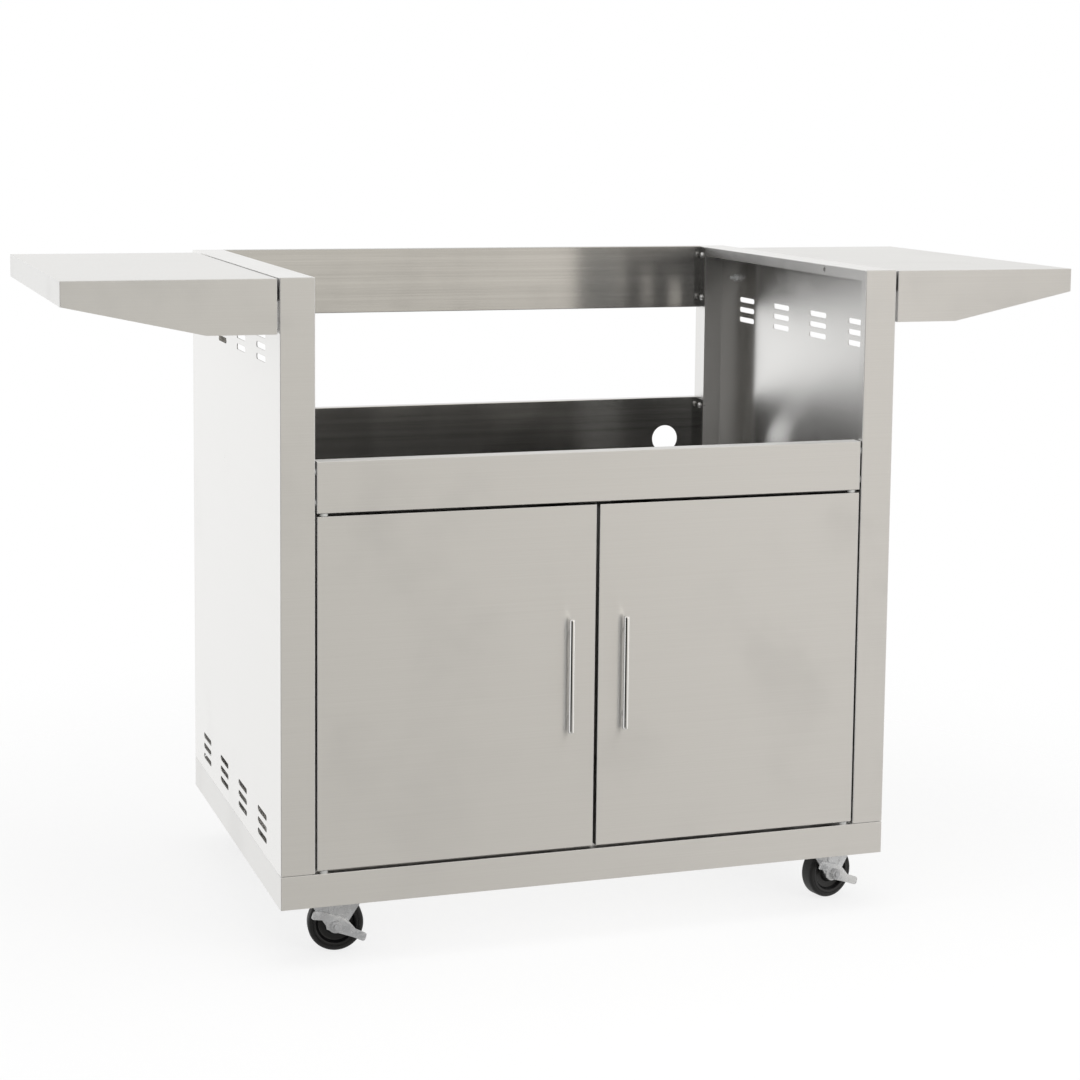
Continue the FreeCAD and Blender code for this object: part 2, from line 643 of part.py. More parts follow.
def door_skin():
    x_span = (DOOR_FREE_X, DOOR_OUTER_X)
    z_span = (DOOR_BOTTOM_Z, DOOR_TOP_Z)
    outer = block(x_span, (FRONT, DOOR_BACK_Y), z_span)
    outer = soften(outer, DOOR_ROUND, lambda box: at_front(box, FRONT))
    inner_x = (x_span[0] + DOOR_SHEET, x_span[1] - DOOR_SHEET)
    inner_z = (z_span[0] + DOOR_SHEET, z_span[1] - DOOR_SHEET)
    mouth_x = (x_span[0] + DOOR_LIP, x_span[1] - DOOR_LIP)
    mouth_z = (z_span[0] + DOOR_LIP, z_span[1] - DOOR_LIP)
    cuts = [block(inner_x, (FRONT + DOOR_SHEET, DOOR_BACK_Y - DOOR_SHEET), inner_z)]
    cuts.append(block(mouth_x, (FRONT + DOOR_SHEET, DOOR_BACK_Y + PAST), mouth_z))
    cuts.append(rod(PIN_RADIUS + HOLE_FIT, Vector(PIVOT_X, PIVOT_Y, DOOR_BOTTOM_Z - PAST),
                    Vector(PIVOT_X, PIVOT_Y, DOOR_TOP_Z + PAST)))
    for z in handle_post_zs():
        start = Vector(HANDLE_X, FRONT - PAST, z)
        cuts.append(rod(HANDLE_SCREW_RADIUS + HOLE_FIT, start, start + Vector(0, DOOR_SHEET + 2 * PAST, 0)))
    return outer.cut(cuts)


def pivot_pins():
    """Collared pins in the door's top and bottom fold, running in the bushes."""
    pins = []
    for end_z, up in ((DOOR_BOTTOM_Z, -1), (DOOR_TOP_Z, 1)):
        gap = DOOR_TOP_GAP if up > 0 else DOOR_BOTTOM_GAP
        seat = Vector(PIVOT_X, PIVOT_Y, end_z - up * DOOR_SHEET)
        collar = rod(PIN_COLLAR_RADIUS, seat - Vector(0, 0, up * PIN_COLLAR_HEIGHT), seat)
        tip = Vector(PIVOT_X, PIVOT_Y, end_z + up * (gap + BUSH_SLEEVE_LENGTH))
        pins.append(collar.fuse(rod(PIN_RADIUS, seat, tip)))
    return Part.makeCompound(pins)


def door_bushes():
    bushes = []
    for side in (-1, 1):
        x, y = pivot_place(side)
        for seat_z, up, gap in ((BASE_TOP_Z, 1, DOOR_BOTTOM_GAP), (APRON_BOTTOM_Z, -1, DOOR_TOP_GAP)):
            seat = Vector(x, y, seat_z)
            flange_end = Vector(x, y, seat_z + up * (gap - MOVING_GAP))
            sleeve_end = Vector(x, y, seat_z - up * BUSH_SLEEVE_LENGTH)
            bush = rod(BUSH_FLANGE_RADIUS, seat, flange_end).fuse(rod(BUSH_SLEEVE_RADIUS, sleeve_end, seat))
            bushes.append(bush.cut(rod(PIN_RADIUS + RUNNING_FIT, sleeve_end, flange_end)))
    return Part.makeCompound(bushes)


def door_catches():
    """Magnetic catches under the apron's lower flange, with the magnet set back in the front face."""
    catches = []
    for side in (-1, 1):
        x_span = (side * CATCH_X - CATCH_WIDTH / 2, side * CATCH_X + CATCH_WIDTH / 2)
        foot_z = APRON_BOTTOM_Z - CATCH_HEIGHT
        body = block(x_span, (CATCH_Y, CATCH_Y + CATCH_DEPTH), (foot_z, APRON_BOTTOM_Z))
        body = soften(body, CATCH_ROUND, lambda box: on_plane(box.ZMin, box.ZMax, foot_z))
        middle_z = APRON_BOTTOM_Z - CATCH_HEIGHT / 2
        slot_z = (middle_z - CATCH_MAGNET_HEIGHT / 2, middle_z + CATCH_MAGNET_HEIGHT / 2)
        slot_x = (x_span[0] + CATCH_MAGNET_HEIGHT, x_span[1] - CATCH_MAGNET_HEIGHT)
        catches.append(body.cut(block(slot_x, (CATCH_Y - PAST, CATCH_Y + CATCH_MAGNET_RECESS), slot_z)))
    return Part.makeCompound(catches)


def strike_plate():
    middle_z = DOOR_TOP_Z - DOOR_LIP / 2
    z_span = (middle_z - STRIKE_HEIGHT / 2, middle_z + STRIKE_HEIGHT / 2)
    x_span = (CATCH_X - STRIKE_WIDTH / 2, CATCH_X + STRIKE_WIDTH / 2)
    return block(x_span, (DOOR_BACK_Y, DOOR_BACK_Y + STRIKE_THICKNESS), z_span)


def handle_bar():
    y = FRONT - HANDLE_OFFSET
    half = HANDLE_LENGTH / 2
    bar = rod(HANDLE_RADIUS, Vector(HANDLE_X, y, HANDLE_Z - half), Vector(HANDLE_X, y, HANDLE_Z + half))
    rims = [edge for edge in bar.Edges if edge.BoundBox.ZLength < TINY]
    return bar.makeChamfer(HANDLE_END_CHAMFER, rims)


def handle_posts():
    """Posts from the door to the bar, saddled to the bar and drilled for a screw from inside."""
    posts = []
    bar_y = FRONT - HANDLE_OFFSET
    for z in handle_post_zs():
        foot = Vector(HANDLE_X, FRONT, z)
        post = rod(HANDLE_POST_RADIUS, foot, Vector(HANDLE_X, bar_y, z))
        reach = Vector(0, 0, HANDLE_POST_RADIUS + PAST)
        axis = Vector(HANDLE_X, bar_y, z)
        saddle = rod(HANDLE_RADIUS + RUNNING_FIT, axis - reach, axis + reach)
        drill = rod(HANDLE_SCREW_RADIUS + HOLE_FIT, foot, foot - Vector(0, HANDLE_SCREW_REACH + HOLE_FIT, 0))
        posts.append(post.cut([saddle, drill]))
    return Part.makeCompound(posts)


def handle_screws():
    screws = []
    for z in handle_post_zs():
        seat = Vector(HANDLE_X, FRONT + DOOR_SHEET, z)
        head = rod(HANDLE_SCREW_HEAD_RADIUS, seat, seat + Vector(0, HANDLE_SCREW_HEAD, 0))
        shank = rod(HANDLE_SCREW_RADIUS, Vector(HANDLE_X, FRONT - HANDLE_SCREW_REACH, z), seat)
        screws.append(head.fuse(shank))
    return Part.makeCompound(screws)


# Casters, built about the swivel axis with the wheel trailing along +X and the axle along Y

def caster_ends():
    return FRONT + CASTER_END_INSET, BACK - CASTER_END_INSET


def plate_bolt_places(x, y):
    half = PLATE_BOLT_SPACING / 2
    return [(x + across * half, y + along * half) for across in (-1, 1) for along in (-1, 1)]


def caster_places():
    front_y, rear_y = caster_ends()
    return [
        ("front_left", -CASTER_X, front_y, FRONT_LEFT_TURN, True),
        ("front_right", CASTER_X, front_y, FRONT_RIGHT_TURN, True),
        ("rear_left", -CASTER_X, rear_y, REAR_LEFT_TURN, False),
        ("rear_right", CASTER_X, rear_y, REAR_RIGHT_TURN, False),
    ]


def caster_plates():
    plates = []
    half = PLATE_SIDE / 2
    for name, x, y, turn, braked in caster_places():
        plate = block((x - half, x + half), (y - half, y + half), (PLATE_BOTTOM_Z, PLATE_TOP_Z))
        plate = soften(plate, PLATE_ROUND, stands)
        low = Vector(x, y, PLATE_BOTTOM_Z - PAST)
        high = Vector(0, 0, PLATE_SHEET + 2 * PAST)
        holes = [rod(KINGPIN_RADIUS + HOLE_FIT, low, low + high)]
        for bolt_x, bolt_y in plate_bolt_places(x, y):
            low = Vector(bolt_x, bolt_y, PLATE_BOTTOM_Z - PAST)
            holes.append(rod(PLATE_BOLT_RADIUS + HOLE_FIT, low, low + high))
        plates.append(plate.cut(holes))
    return Part.makeCompound(plates)


def caster_fasteners():
    bolts = []
    nuts = []
    nut_z = PLATE_TOP_Z + CHANNEL_SHEET
    for name, x, y, turn, braked in caster_places():
        for bolt_x, bolt_y in plate_bolt_places(x, y):
            seat = Vector(bolt_x, bolt_y, PLATE_BOTTOM_Z)
            tip = Vector(bolt_x, bolt_y, nut_z + PLATE_NUT + PLATE_BOLT_END)
            head = hexagon(PLATE_BOLT_FLATS, seat - Vector(0, 0, PLATE_BOLT_HEAD), seat)
            bolts.append(head.fuse(rod(PLATE_BOLT_RADIUS, seat, tip)))
            nut_seat = Vector(bolt_x, bolt_y, nut_z)
            nut = hexagon(PLATE_BOLT_FLATS, nut_seat, nut_seat + Vector(0, 0, PLATE_NUT))
            nuts.append(nut.cut(rod(PLATE_BOLT_RADIUS + RUNNING_FIT, seat, tip)))
    return Part.makeCompound(bolts), Part.makeCompound(nuts)


def kingpins():
    pins = []
    for name, x, y, turn, braked in caster_places():
        foot = Vector(x, y, KINGPIN_FOOT_Z)
        neck = Vector(x, y, KINGPIN_FOOT_Z + KINGPIN_HEAD)
        head = rod(KINGPIN_HEAD_RADIUS, foot, neck)
        pins.append(head.fuse(rod(KINGPIN_RADIUS, neck, Vector(x, y, PLATE_TOP_Z))))
    return Part.makeCompound(pins)


def swivel_balls():
    balls = []
    z = PLATE_BOTTOM_Z - HOLE_FIT - BALL_RADIUS
    for name, x, y, turn, braked in caster_places():
        for step in range(BALL_COUNT):
            angle = 2 * math.pi * step / BALL_COUNT
            centre = Vector(x + BALL_RING_RADIUS * math.cos(angle), y + BALL_RING_RADIUS * math.sin(angle), z)
            balls.append(Part.makeSphere(BALL_RADIUS, centre))
    return Part.makeCompound(balls)


def axle_point(y):
    return Vector(TRAIL, y, AXLE_Z)


def tangent_point(x, z, side):
    """Where a line from the point touches the rounded end of the fork leg."""
    away_x = x - TRAIL
    away_z = z - AXLE_Z
    turn = math.atan2(away_z, away_x) + side * math.acos(LEG_END_RADIUS / math.hypot(away_x, away_z))
    return TRAIL + LEG_END_RADIUS * math.cos(turn), AXLE_Z + LEG_END_RADIUS * math.sin(turn)


def fork():
    knee_z = AXLE_Z + LEG_KNEE_RISE
    outline = [
        (-CROWN_FRONT, CROWN_TOP_Z),
        (-LEG_KNEE_FRONT, knee_z),
        tangent_point(-LEG_KNEE_FRONT, knee_z, 1),
        tangent_point(LEG_KNEE_BACK, knee_z, -1),
        (LEG_KNEE_BACK, knee_z),
        (CROWN_BACK, CROWN_TOP_Z),
    ]
    body = profile_prism(outline, (-FORK_OUTER, FORK_OUTER))
    body = body.fuse(rod(LEG_END_RADIUS, axle_point(-FORK_OUTER), axle_point(FORK_OUTER))).removeSplitter()
    body = soften(body, LEG_SHEET, lambda box: at_top(box, CROWN_TOP_Z) and box.XLength > TINY)
    additions = [rod(CROWN_DISC_RADIUS, Vector(0, 0, CROWN_BOTTOM_Z), Vector(0, 0, CROWN_TOP_Z))]
    for side in (-1, 1):
        foot = Vector(LEG_RIB_X, side * FORK_OUTER, AXLE_Z + LEG_RIB_FOOT_RISE)
        additions.append(rod(LEG_RIB_RADIUS, foot, Vector(LEG_RIB_X, side * FORK_OUTER, CROWN_BOTTOM_Z)))
    past_x = (-CROWN_FRONT - PAST, CROWN_BACK + PAST)
    wheel_well = block(past_x, (-FORK_INNER, FORK_INNER), (0, CROWN_BOTTOM_Z))
    bore = rod(AXLE_RADIUS + HOLE_FIT, axle_point(-FORK_OUTER - PAST), axle_point(FORK_OUTER + PAST))
    pin_low = Vector(0, 0, CROWN_BOTTOM_Z - PAST)
    pin_hole = rod(KINGPIN_RADIUS + RUNNING_FIT, pin_low, Vector(0, 0, CROWN_TOP_Z + PAST))
    return body.fuse(additions).cut([wheel_well, bore, pin_hole])


def axle(braked):
    """Axle bolt with its head at the back, and its nut outside the front leg or the brake lever."""
    nut_y = -FORK_OUTER
    if braked:
        nut_y = -(FORK_OUTER + LEVER_SHEET + 2 * MOVING_GAP)
    tip_y = nut_y - AXLE_NUT - AXLE_END
    bolt = rod(AXLE_RADIUS, axle_point(tip_y), axle_point(FORK_OUTER))
    bolt = bolt.fuse(hexagon(AXLE_FLATS, axle_point(FORK_OUTER), axle_point(FORK_OUTER + AXLE_HEAD)))
    nut = hexagon(AXLE_FLATS, axle_point(nut_y), axle_point(nut_y - AXLE_NUT))
    nut = nut.cut(rod(AXLE_RADIUS + RUNNING_FIT, axle_point(tip_y), axle_point(0)))
    return Part.makeCompound([bolt, nut])


def wheel_bush():
    tube = rod(BUSH_RADIUS, axle_point(-FORK_INNER), axle_point(FORK_INNER))
    return tube.cut(rod(AXLE_RADIUS + HOLE_FIT, axle_point(-FORK_INNER), axle_point(FORK_INNER)))


def turned(outline):
    """Outline of radius and place along the axle, turned about the axle."""
    corners = [axle_point(along) + Vector(0, 0, radius) for radius, along in outline]
    face = Part.Face(Part.makePolygon(corners + corners[:1]))
    return face.revolve(axle_point(0), Vector(0, 1, 0), 360)


def wheel():
    half = WHEEL_WIDTH / 2
    web = HUB_WEB / 2
    slope = half - web
    bore = BUSH_RADIUS + RUNNING_FIT
    rim_inner = RIM_RADIUS - HUB_RIM
    near = [(bore, -half), (HUB_BOSS_RADIUS, -half), (HUB_BOSS_RADIUS + slope / 2, -web)]
    near += [(rim_inner - slope / 2, -web), (rim_inner, TYRE_INSET - half), (RIM_RADIUS, TYRE_INSET - half)]
    far = [(radius, -along) for radius, along in reversed(near)]
    return turned(near + far)


def tyre():
    half = WHEEL_WIDTH / 2 - TYRE_INSET
    inner = RIM_RADIUS + RUNNING_FIT
    outer = WHEEL_DIAMETER / 2
    ring = turned([(inner, -half), (outer, -half), (outer, half), (inner, half)])
    circles = [edge for edge in ring.Edges if isinstance(edge.Curve, Part.Circle)]
    rims = [edge for edge in circles if abs(edge.Curve.Radius - outer) < TINY]
    return ring.makeFillet(TYRE_ROUND, rims)


def lever_width(rise):
    return rise - LEVER_ARM_WIDTH / 2, rise + LEVER_ARM_WIDTH / 2


def lever_end(start, length, bend, direction, rise):
    """End of the lever, bent outwards at its start, with rounded corners."""
    x_span = sorted((direction * start, direction * (start + length)))
    y_span = (-LEVER_SHEET, 0)
    plate = block(x_span, y_span, lever_width(rise))
    tip = direction * (start + length)
    plate = soften(plate, LEVER_END_ROUND,
                   lambda box: on_plane(box.XMin, box.XMax, tip) and box.YLength > TINY)
    plate.rotate(Vector(direction * start, 0, 0), Vector(0, 0, 1), -direction * bend)
    return plate


def brake_lever():
    """Rocker stamped from sheet on the axle, with a foot pedal and a higher release tab."""
    hub = rod(LEVER_HUB_RADIUS, Vector(0, -LEVER_SHEET, 0), Vector(0, 0, 0))
    wide = LEVER_HUB_RADIUS + PAST
    hub = hub.cut(block((-wide, wide), (-LEVER_SHEET - PAST, PAST), (-wide, -LEVER_HUB_FLAT)))
    tab_arm = block((-LEVER_TAB_START, 0), (-LEVER_SHEET, 0), lever_width(LEVER_TAB_RISE))
    pedal_arm = block((0, LEVER_PEDAL_START), (-LEVER_SHEET, 0), lever_width(LEVER_PEDAL_RISE))
    tab = lever_end(LEVER_TAB_START, LEVER_TAB_LENGTH, LEVER_TAB_BEND, -1, LEVER_TAB_RISE)
    pedal = lever_end(LEVER_PEDAL_START, LEVER_PEDAL_LENGTH, LEVER_PEDAL_BEND, 1, LEVER_PEDAL_RISE)
    web_outline = [
        (0, 0),
        (0, LEVER_HUB_RADIUS),
        (LEVER_WEB_REACH, LEVER_WEB_RISE),
        (LEVER_PEDAL_START, LEVER_PEDAL_RISE + LEVER_ARM_WIDTH / 2),
    ]
    web = profile_prism(web_outline, (-LEVER_SHEET, 0))
    lever = hub.fuse([web, tab_arm, pedal_arm, tab, pedal]).removeSplitter()
    bore = rod(AXLE_RADIUS + RUNNING_FIT, Vector(0, -LEVER_SHEET - PAST, 0), Vector(0, PAST, 0))
    lever = lever.cut(bore)
    lever.rotate(Vector(0, 0, 0), Vector(0, -1, 0), -LEVER_TILT)
    lever.translate(axle_point(-(FORK_OUTER + MOVING_GAP)))
    return lever


def set_caster(shape, x, y, turn):
    placed = shape.copy()
    placed.rotate(Vector(0, 0, 0), Vector(0, 0, 1), turn)
    placed.translate(Vector(x, y, 0))
    return placed


# The whole cart

def right_hand_pieces():
    return {
        "caster_channel": caster_channel(),
        "side_panel": side_panel(),
        "shelf": shelf(),
        "shelf_bracket": shelf_bracket(),
        "door_skin": door_skin(),
        "pivot_pins": pivot_pins(),
        "strike_plate": strike_plate(),
        "handle_bar": handle_bar(),
        "handle_posts": handle_posts(),
        "handle_screws": handle_screws(),
    }


def cart():
    pieces = {
        "base_pan": base_pan(),
        "rear_top_rail": rear_top_rail(),
        "rear_lower_panel": rear_lower_panel(),
        "front_apron": front_apron(),
        "frame_screws": frame_screws(),
        "rivet_nuts": rivet_nuts(),
        "door_bushes": door_bushes(),
        "door_catches": door_catches(),
        "caster_plates": caster_plates(),
        "kingpins": kingpins(),
        "swivel_balls": swivel_balls(),
    }
    pieces["shelf_bolts"], pieces["shelf_nuts"] = shelf_fasteners()
    pieces["caster_bolts"], pieces["caster_nuts"] = caster_fasteners()
    for name, shape in right_hand_pieces().items():
        pieces["right_" + name] = shape
        pieces["left_" + name] = mirrored(shape)
    for name, x, y, turn, braked in caster_places():
        pieces[name + "_fork"] = set_caster(fork(), x, y, turn)
        pieces[name + "_axle"] = set_caster(axle(braked), x, y, turn)
        pieces[name + "_bush"] = set_caster(wheel_bush(), x, y, turn)
        pieces[name + "_wheel"] = set_caster(wheel(), x, y, turn)
        pieces[name + "_tyre"] = set_caster(tyre(), x, y, turn)
        if braked:
            pieces[name + "_brake_lever"] = set_caster(brake_lever(), x, y, turn)
    return pieces


os.makedirs("parts", exist_ok=True)
for node, shape in cart().items():
    shape.exportStep("parts/" + node + ".step")
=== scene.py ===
import math

import bmesh
import bpy
from mathutils import Matrix, Vector


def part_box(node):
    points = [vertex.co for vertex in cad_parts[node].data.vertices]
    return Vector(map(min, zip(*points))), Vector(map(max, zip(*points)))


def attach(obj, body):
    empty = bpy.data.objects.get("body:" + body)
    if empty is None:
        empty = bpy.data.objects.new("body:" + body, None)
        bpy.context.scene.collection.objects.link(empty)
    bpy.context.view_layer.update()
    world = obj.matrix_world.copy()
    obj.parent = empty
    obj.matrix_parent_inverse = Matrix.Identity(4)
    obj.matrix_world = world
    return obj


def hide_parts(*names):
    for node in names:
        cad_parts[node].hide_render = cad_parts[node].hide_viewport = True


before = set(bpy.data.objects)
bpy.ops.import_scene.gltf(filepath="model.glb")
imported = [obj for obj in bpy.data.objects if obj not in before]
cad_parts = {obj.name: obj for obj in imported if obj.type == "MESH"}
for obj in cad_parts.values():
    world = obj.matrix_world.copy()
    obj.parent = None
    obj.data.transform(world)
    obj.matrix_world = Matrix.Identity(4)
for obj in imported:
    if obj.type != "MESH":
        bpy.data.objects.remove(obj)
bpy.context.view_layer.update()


# Base pan and caster channels
# The cabinet floor is one stainless sheet, brushed along its length, with a skirt folded down all round.
# Two zinc plated channels are welded under it, and the casters bolt to them.

def node(tree, kind, feeds=None, **settings):
    """One node. A feed is a socket to link from, or a plain value for the socket."""
    made = tree.nodes.new(kind)
    for name, value in settings.items():
        setattr(made, name, value)
    for socket, source in (feeds or {}).items():
        if isinstance(source, bpy.types.NodeSocket):
            tree.links.new(source, made.inputs[socket])
        else:
            made.inputs[socket].default_value = source
    return made


def figure(tree, kind, first, second):
    """One step of arithmetic on two values."""
    return node(tree, "ShaderNodeMath", {0: first, 1: second}, operation=kind).outputs[0]


def scaled_sum(tree, value, scale, base):
    """A value times a scale, plus a base."""
    return node(tree, "ShaderNodeMath", {0: value, 1: scale, 2: base}, operation="MULTIPLY_ADD").outputs[0]


def blend(tree, share, first, second, kind="MIX"):
    """A colour between the first and the second."""
    mixed = node(tree, "ShaderNodeMix", {"Factor": share, 6: first, 7: second},
                 data_type="RGBA", blend_type=kind)
    return mixed.outputs[2]


def effect(name, inputs, outputs):
    """An empty shader node group with named inputs and outputs."""
    tree = bpy.data.node_groups.new(name, "ShaderNodeTree")
    for label, kind, value in inputs:
        socket = tree.interface.new_socket(label, in_out="INPUT", socket_type=kind)
        socket.default_value = value
    for label in outputs:
        tree.interface.new_socket(label, in_out="OUTPUT", socket_type="NodeSocketFloat")
    return tree, node(tree, "NodeGroupInput"), node(tree, "NodeGroupOutput")


streak_scale = 1.0
band_scale = 0.11
grain, grain_in, grain_out = effect("brushed grain", [("Stretch", "NodeSocketVector", (1, 1, 1))],
                                    ["Streak", "Band"])
grain_spot = node(grain, "ShaderNodeTexCoord")
grain_drawn = node(grain, "ShaderNodeVectorMath",
                   {0: grain_spot.outputs["Object"], 1: grain_in.outputs["Stretch"]}, operation="MULTIPLY")
grain_fine = node(grain, "ShaderNodeTexNoise",
                  {"Vector": grain_drawn.outputs[0], "Scale": streak_scale, "Detail": 4.0, "Roughness": 0.65})
grain_wide = node(grain, "ShaderNodeTexNoise",
                  {"Vector": grain_drawn.outputs[0], "Scale": band_scale, "Detail": 3.0, "Roughness": 0.6})
grain.links.new(grain_fine.outputs[0], grain_out.inputs["Streak"])
grain.links.new(grain_wide.outputs[0], grain_out.inputs["Band"])

smudge_starts = 0.48
smudge_full = 0.72
wave_scale = 2.6
marks, marks_in, marks_out = effect("handling marks", [("Size", "NodeSocketFloat", 6.0)],
                                    ["Smudge", "Wave"])
marks_spot = node(marks, "ShaderNodeTexCoord")
marks_blot = node(marks, "ShaderNodeTexNoise",
                  {"Vector": marks_spot.outputs["Object"], "Scale": marks_in.outputs["Size"],
                   "Detail": 5.0, "Roughness": 0.6})
marks_edge = node(marks, "ShaderNodeMapRange",
                  {"Value": marks_blot.outputs[0], "From Min": smudge_starts, "From Max": smudge_full},
                  interpolation_type="SMOOTHSTEP")
marks_wave = node(marks, "ShaderNodeTexNoise",
                  {"Vector": marks_spot.outputs["Object"], "Scale": wave_scale, "Detail": 1.0})
marks.links.new(marks_edge.outputs[0], marks_out.inputs["Smudge"])
marks.links.new(marks_wave.outputs[0], marks_out.inputs["Wave"])


def new_finish(name):
    """A new material with its node tree and its surface shader."""
    finish = bpy.data.materials.new(name)
    finish.use_nodes = True
    tree = finish.node_tree
    return finish, tree, tree.nodes["Principled BSDF"]


def press_relief(tree, surface, height, strength, depth):
    """Presses a height into a surface."""
    bump = node(tree, "ShaderNodeBump", {"Height": height, "Strength": strength, "Distance": depth})
    tree.links.new(bump.outputs[0], surface.inputs["Normal"])


def turned_towards(tree, way, starts, full, most=1.0):
    """How far a face is turned a given way: nothing up to the start, and the most from full on."""
    spot = node(tree, "ShaderNodeTexCoord")
    facing = node(tree, "ShaderNodeVectorMath", {0: spot.outputs["Normal"], 1: way}, operation="DOT_PRODUCT")
    share = node(tree, "ShaderNodeMapRange", {"Value": facing.outputs["Value"], "From Min": starts,
                                              "From Max": full, "To Max": most})
    return share.outputs[0]


def brushed_stainless(name, stretch, dark, light, rough, drawn, banding, outside=None, front_rough=0.0,
                      even_side=None):
    """Stainless sheet with level brush lines; what it mirrors is drawn out up and down, across the lines.

    Faces turned away from the outside direction, where one is given, get a near-black painted shade in their
    colour.
    Faces turned to the front of the cart are rougher by front_rough.
    Faces turned to the even side, where one is given, show an even tone without the wide bands.
    """
    smudge_size = 6.0
    smudge_rough = 0.05
    streak_share = 0.5
    streak_rough = 0.04
    streak_height = 0.0015
    relief_depth = 0.0006
    painted_inner_shade = (0.17, 0.168, 0.163, 1)
    turn_starts = 0.2
    turn_full = 0.5
    to_front = (0, -1, 0)
    front_starts = 0.3
    front_full = 0.8
    across_lines = (0.02, 0.01, 1.0)
    finish, tree, metal = new_finish(name)
    metal.inputs["Metallic"].default_value = 1.0
    metal.inputs["Anisotropic"].default_value = drawn
    lines = node(tree, "ShaderNodeGroup", {"Stretch": stretch}, node_tree=grain)
    touch = node(tree, "ShaderNodeGroup", {"Size": smudge_size}, node_tree=marks)
    fine = figure(tree, "MULTIPLY", lines.outputs["Streak"], streak_share)
    tone = scaled_sum(tree, lines.outputs["Band"], banding, fine)
    darkest = 0.18 + 0.35 * banding
    lightest = 0.32 + 0.65 * banding
    tone_span = node(tree, "ShaderNodeMapRange", {"Value": tone, "From Min": darkest, "From Max": lightest})
    colour = blend(tree, tone_span.outputs[0], dark, light)
    if outside:
        # Faces turned away from the outside are painted near-black: painted shade, not a finish the sheet
        # has.
        brushed = turned_towards(tree, outside, turn_starts, turn_full)
        colour = blend(tree, brushed, painted_inner_shade, colour)
    if even_side:
        even = turned_towards(tree, even_side, turn_starts, turn_full)
        even_tone = blend(tree, lines.outputs["Streak"], sheet_dark, sheet_light)
        colour = blend(tree, even, colour, even_tone)
    tree.links.new(colour, metal.inputs["Base Color"])
    dulled = scaled_sum(tree, touch.outputs["Smudge"], smudge_rough, rough)
    roughness = scaled_sum(tree, lines.outputs["Streak"], streak_rough, dulled)
    if front_rough:
        forward = turned_towards(tree, to_front, front_starts, front_full, front_rough)
        roughness = figure(tree, "ADD", forward, roughness)
    tree.links.new(roughness, metal.inputs["Roughness"])
    height = scaled_sum(tree, lines.outputs["Streak"], streak_height, touch.outputs["Wave"])
    press_relief(tree, metal, height, 1.0, relief_depth)
    upright = node(tree, "ShaderNodeVectorTransform", {0: across_lines}, vector_type="VECTOR",
                   convert_from="OBJECT", convert_to="WORLD")
    tree.links.new(upright.outputs[0], metal.inputs["Tangent"])
    return finish


def zinc_plated(name, dark, light, rough, shine):
    """Bright zinc on pressed steel: a faint mottled bloom, duller in patches."""
    patch_size = 90.0
    patch_rough = 0.14
    bloom_size = 420.0
    bloom_share = 0.35
    cloud_size = 160.0
    relief_strength = 0.25
    relief_depth = 0.0003
    finish, tree, metal = new_finish(name)
    metal.inputs["Metallic"].default_value = shine
    touch = node(tree, "ShaderNodeGroup", {"Size": patch_size}, node_tree=marks)
    spot = node(tree, "ShaderNodeTexCoord")
    bloom = node(tree, "ShaderNodeTexVoronoi", {"Vector": spot.outputs["Object"], "Scale": bloom_size})
    cloud = node(tree, "ShaderNodeTexNoise",
                 {"Vector": spot.outputs["Object"], "Scale": cloud_size, "Detail": 4.0})
    tone = scaled_sum(tree, bloom.outputs["Distance"], bloom_share, cloud.outputs[0])
    tree.links.new(blend(tree, tone, dark, light), metal.inputs["Base Color"])
    patchy = scaled_sum(tree, touch.outputs["Smudge"], patch_rough, rough)
    tree.links.new(patchy, metal.inputs["Roughness"])
    press_relief(tree, metal, cloud.outputs[0], relief_strength, relief_depth)
    return finish


def dress(finish, *names):
    """Puts a finish on CAD nodes that keep their own shape."""
    for name in names:
        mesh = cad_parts[name].data
        mesh.materials.clear()
        mesh.materials.append(finish)


sheet_dark = (0.775, 0.768, 0.756, 1)
sheet_light = (0.800, 0.794, 0.783, 1)
along_x = (5.0, 1300.0, 1300.0)
long_brushed = brushed_stainless("satin_stainless_long", along_x, sheet_dark, sheet_light,
                                 rough=0.34, drawn=1.0, banding=0.05)
bright_zinc = zinc_plated("bright_zinc", dark=(0.76, 0.765, 0.77, 1), light=(0.97, 0.975, 0.98, 1),
                          rough=0.25, shine=0.22)
dress(long_brushed, "base_pan")
dress(bright_zinc, "left_caster_channel", "right_caster_channel")


# Side panels
# Each side is one sheet folded into a front post, a wall with vent slots, a back post and a top rail.
# The brush lines run level around the folds, and the foot is screwed to the base pan.

level_lines = (5.0, 5.0, 1300.0)
wall_brushed = brushed_stainless("satin_stainless_wall", level_lines, sheet_dark, sheet_light,
                                 rough=0.2, drawn=1.0, banding=0.05, front_rough=0.14)
dress(wall_brushed, "left_side_panel", "right_side_panel")


# Rear top rail and rear lower panel
# Two folded sheets close the back and leave a gap between them; the lower one has a hole for a gas line.
# Inside they have a plainer mill finish than the front, with long rolling lines; outside they are even.

to_back = (0, 1, 0)
mill_brushed = brushed_stainless("mill_stainless", along_x,
                                 dark=(0.50, 0.494, 0.483, 1), light=(0.68, 0.673, 0.661, 1),
                                 rough=0.13, drawn=0.6, banding=0.5, even_side=to_back)
rail_brushed = brushed_stainless("mill_stainless_rail", along_x,
                                 dark=(0.445, 0.439, 0.428, 1), light=(0.540, 0.533, 0.521, 1),
                                 rough=0.15, drawn=0.8, banding=0.35, even_side=to_back)
dress(rail_brushed, "rear_top_rail")
dress(mill_brushed, "rear_lower_panel")
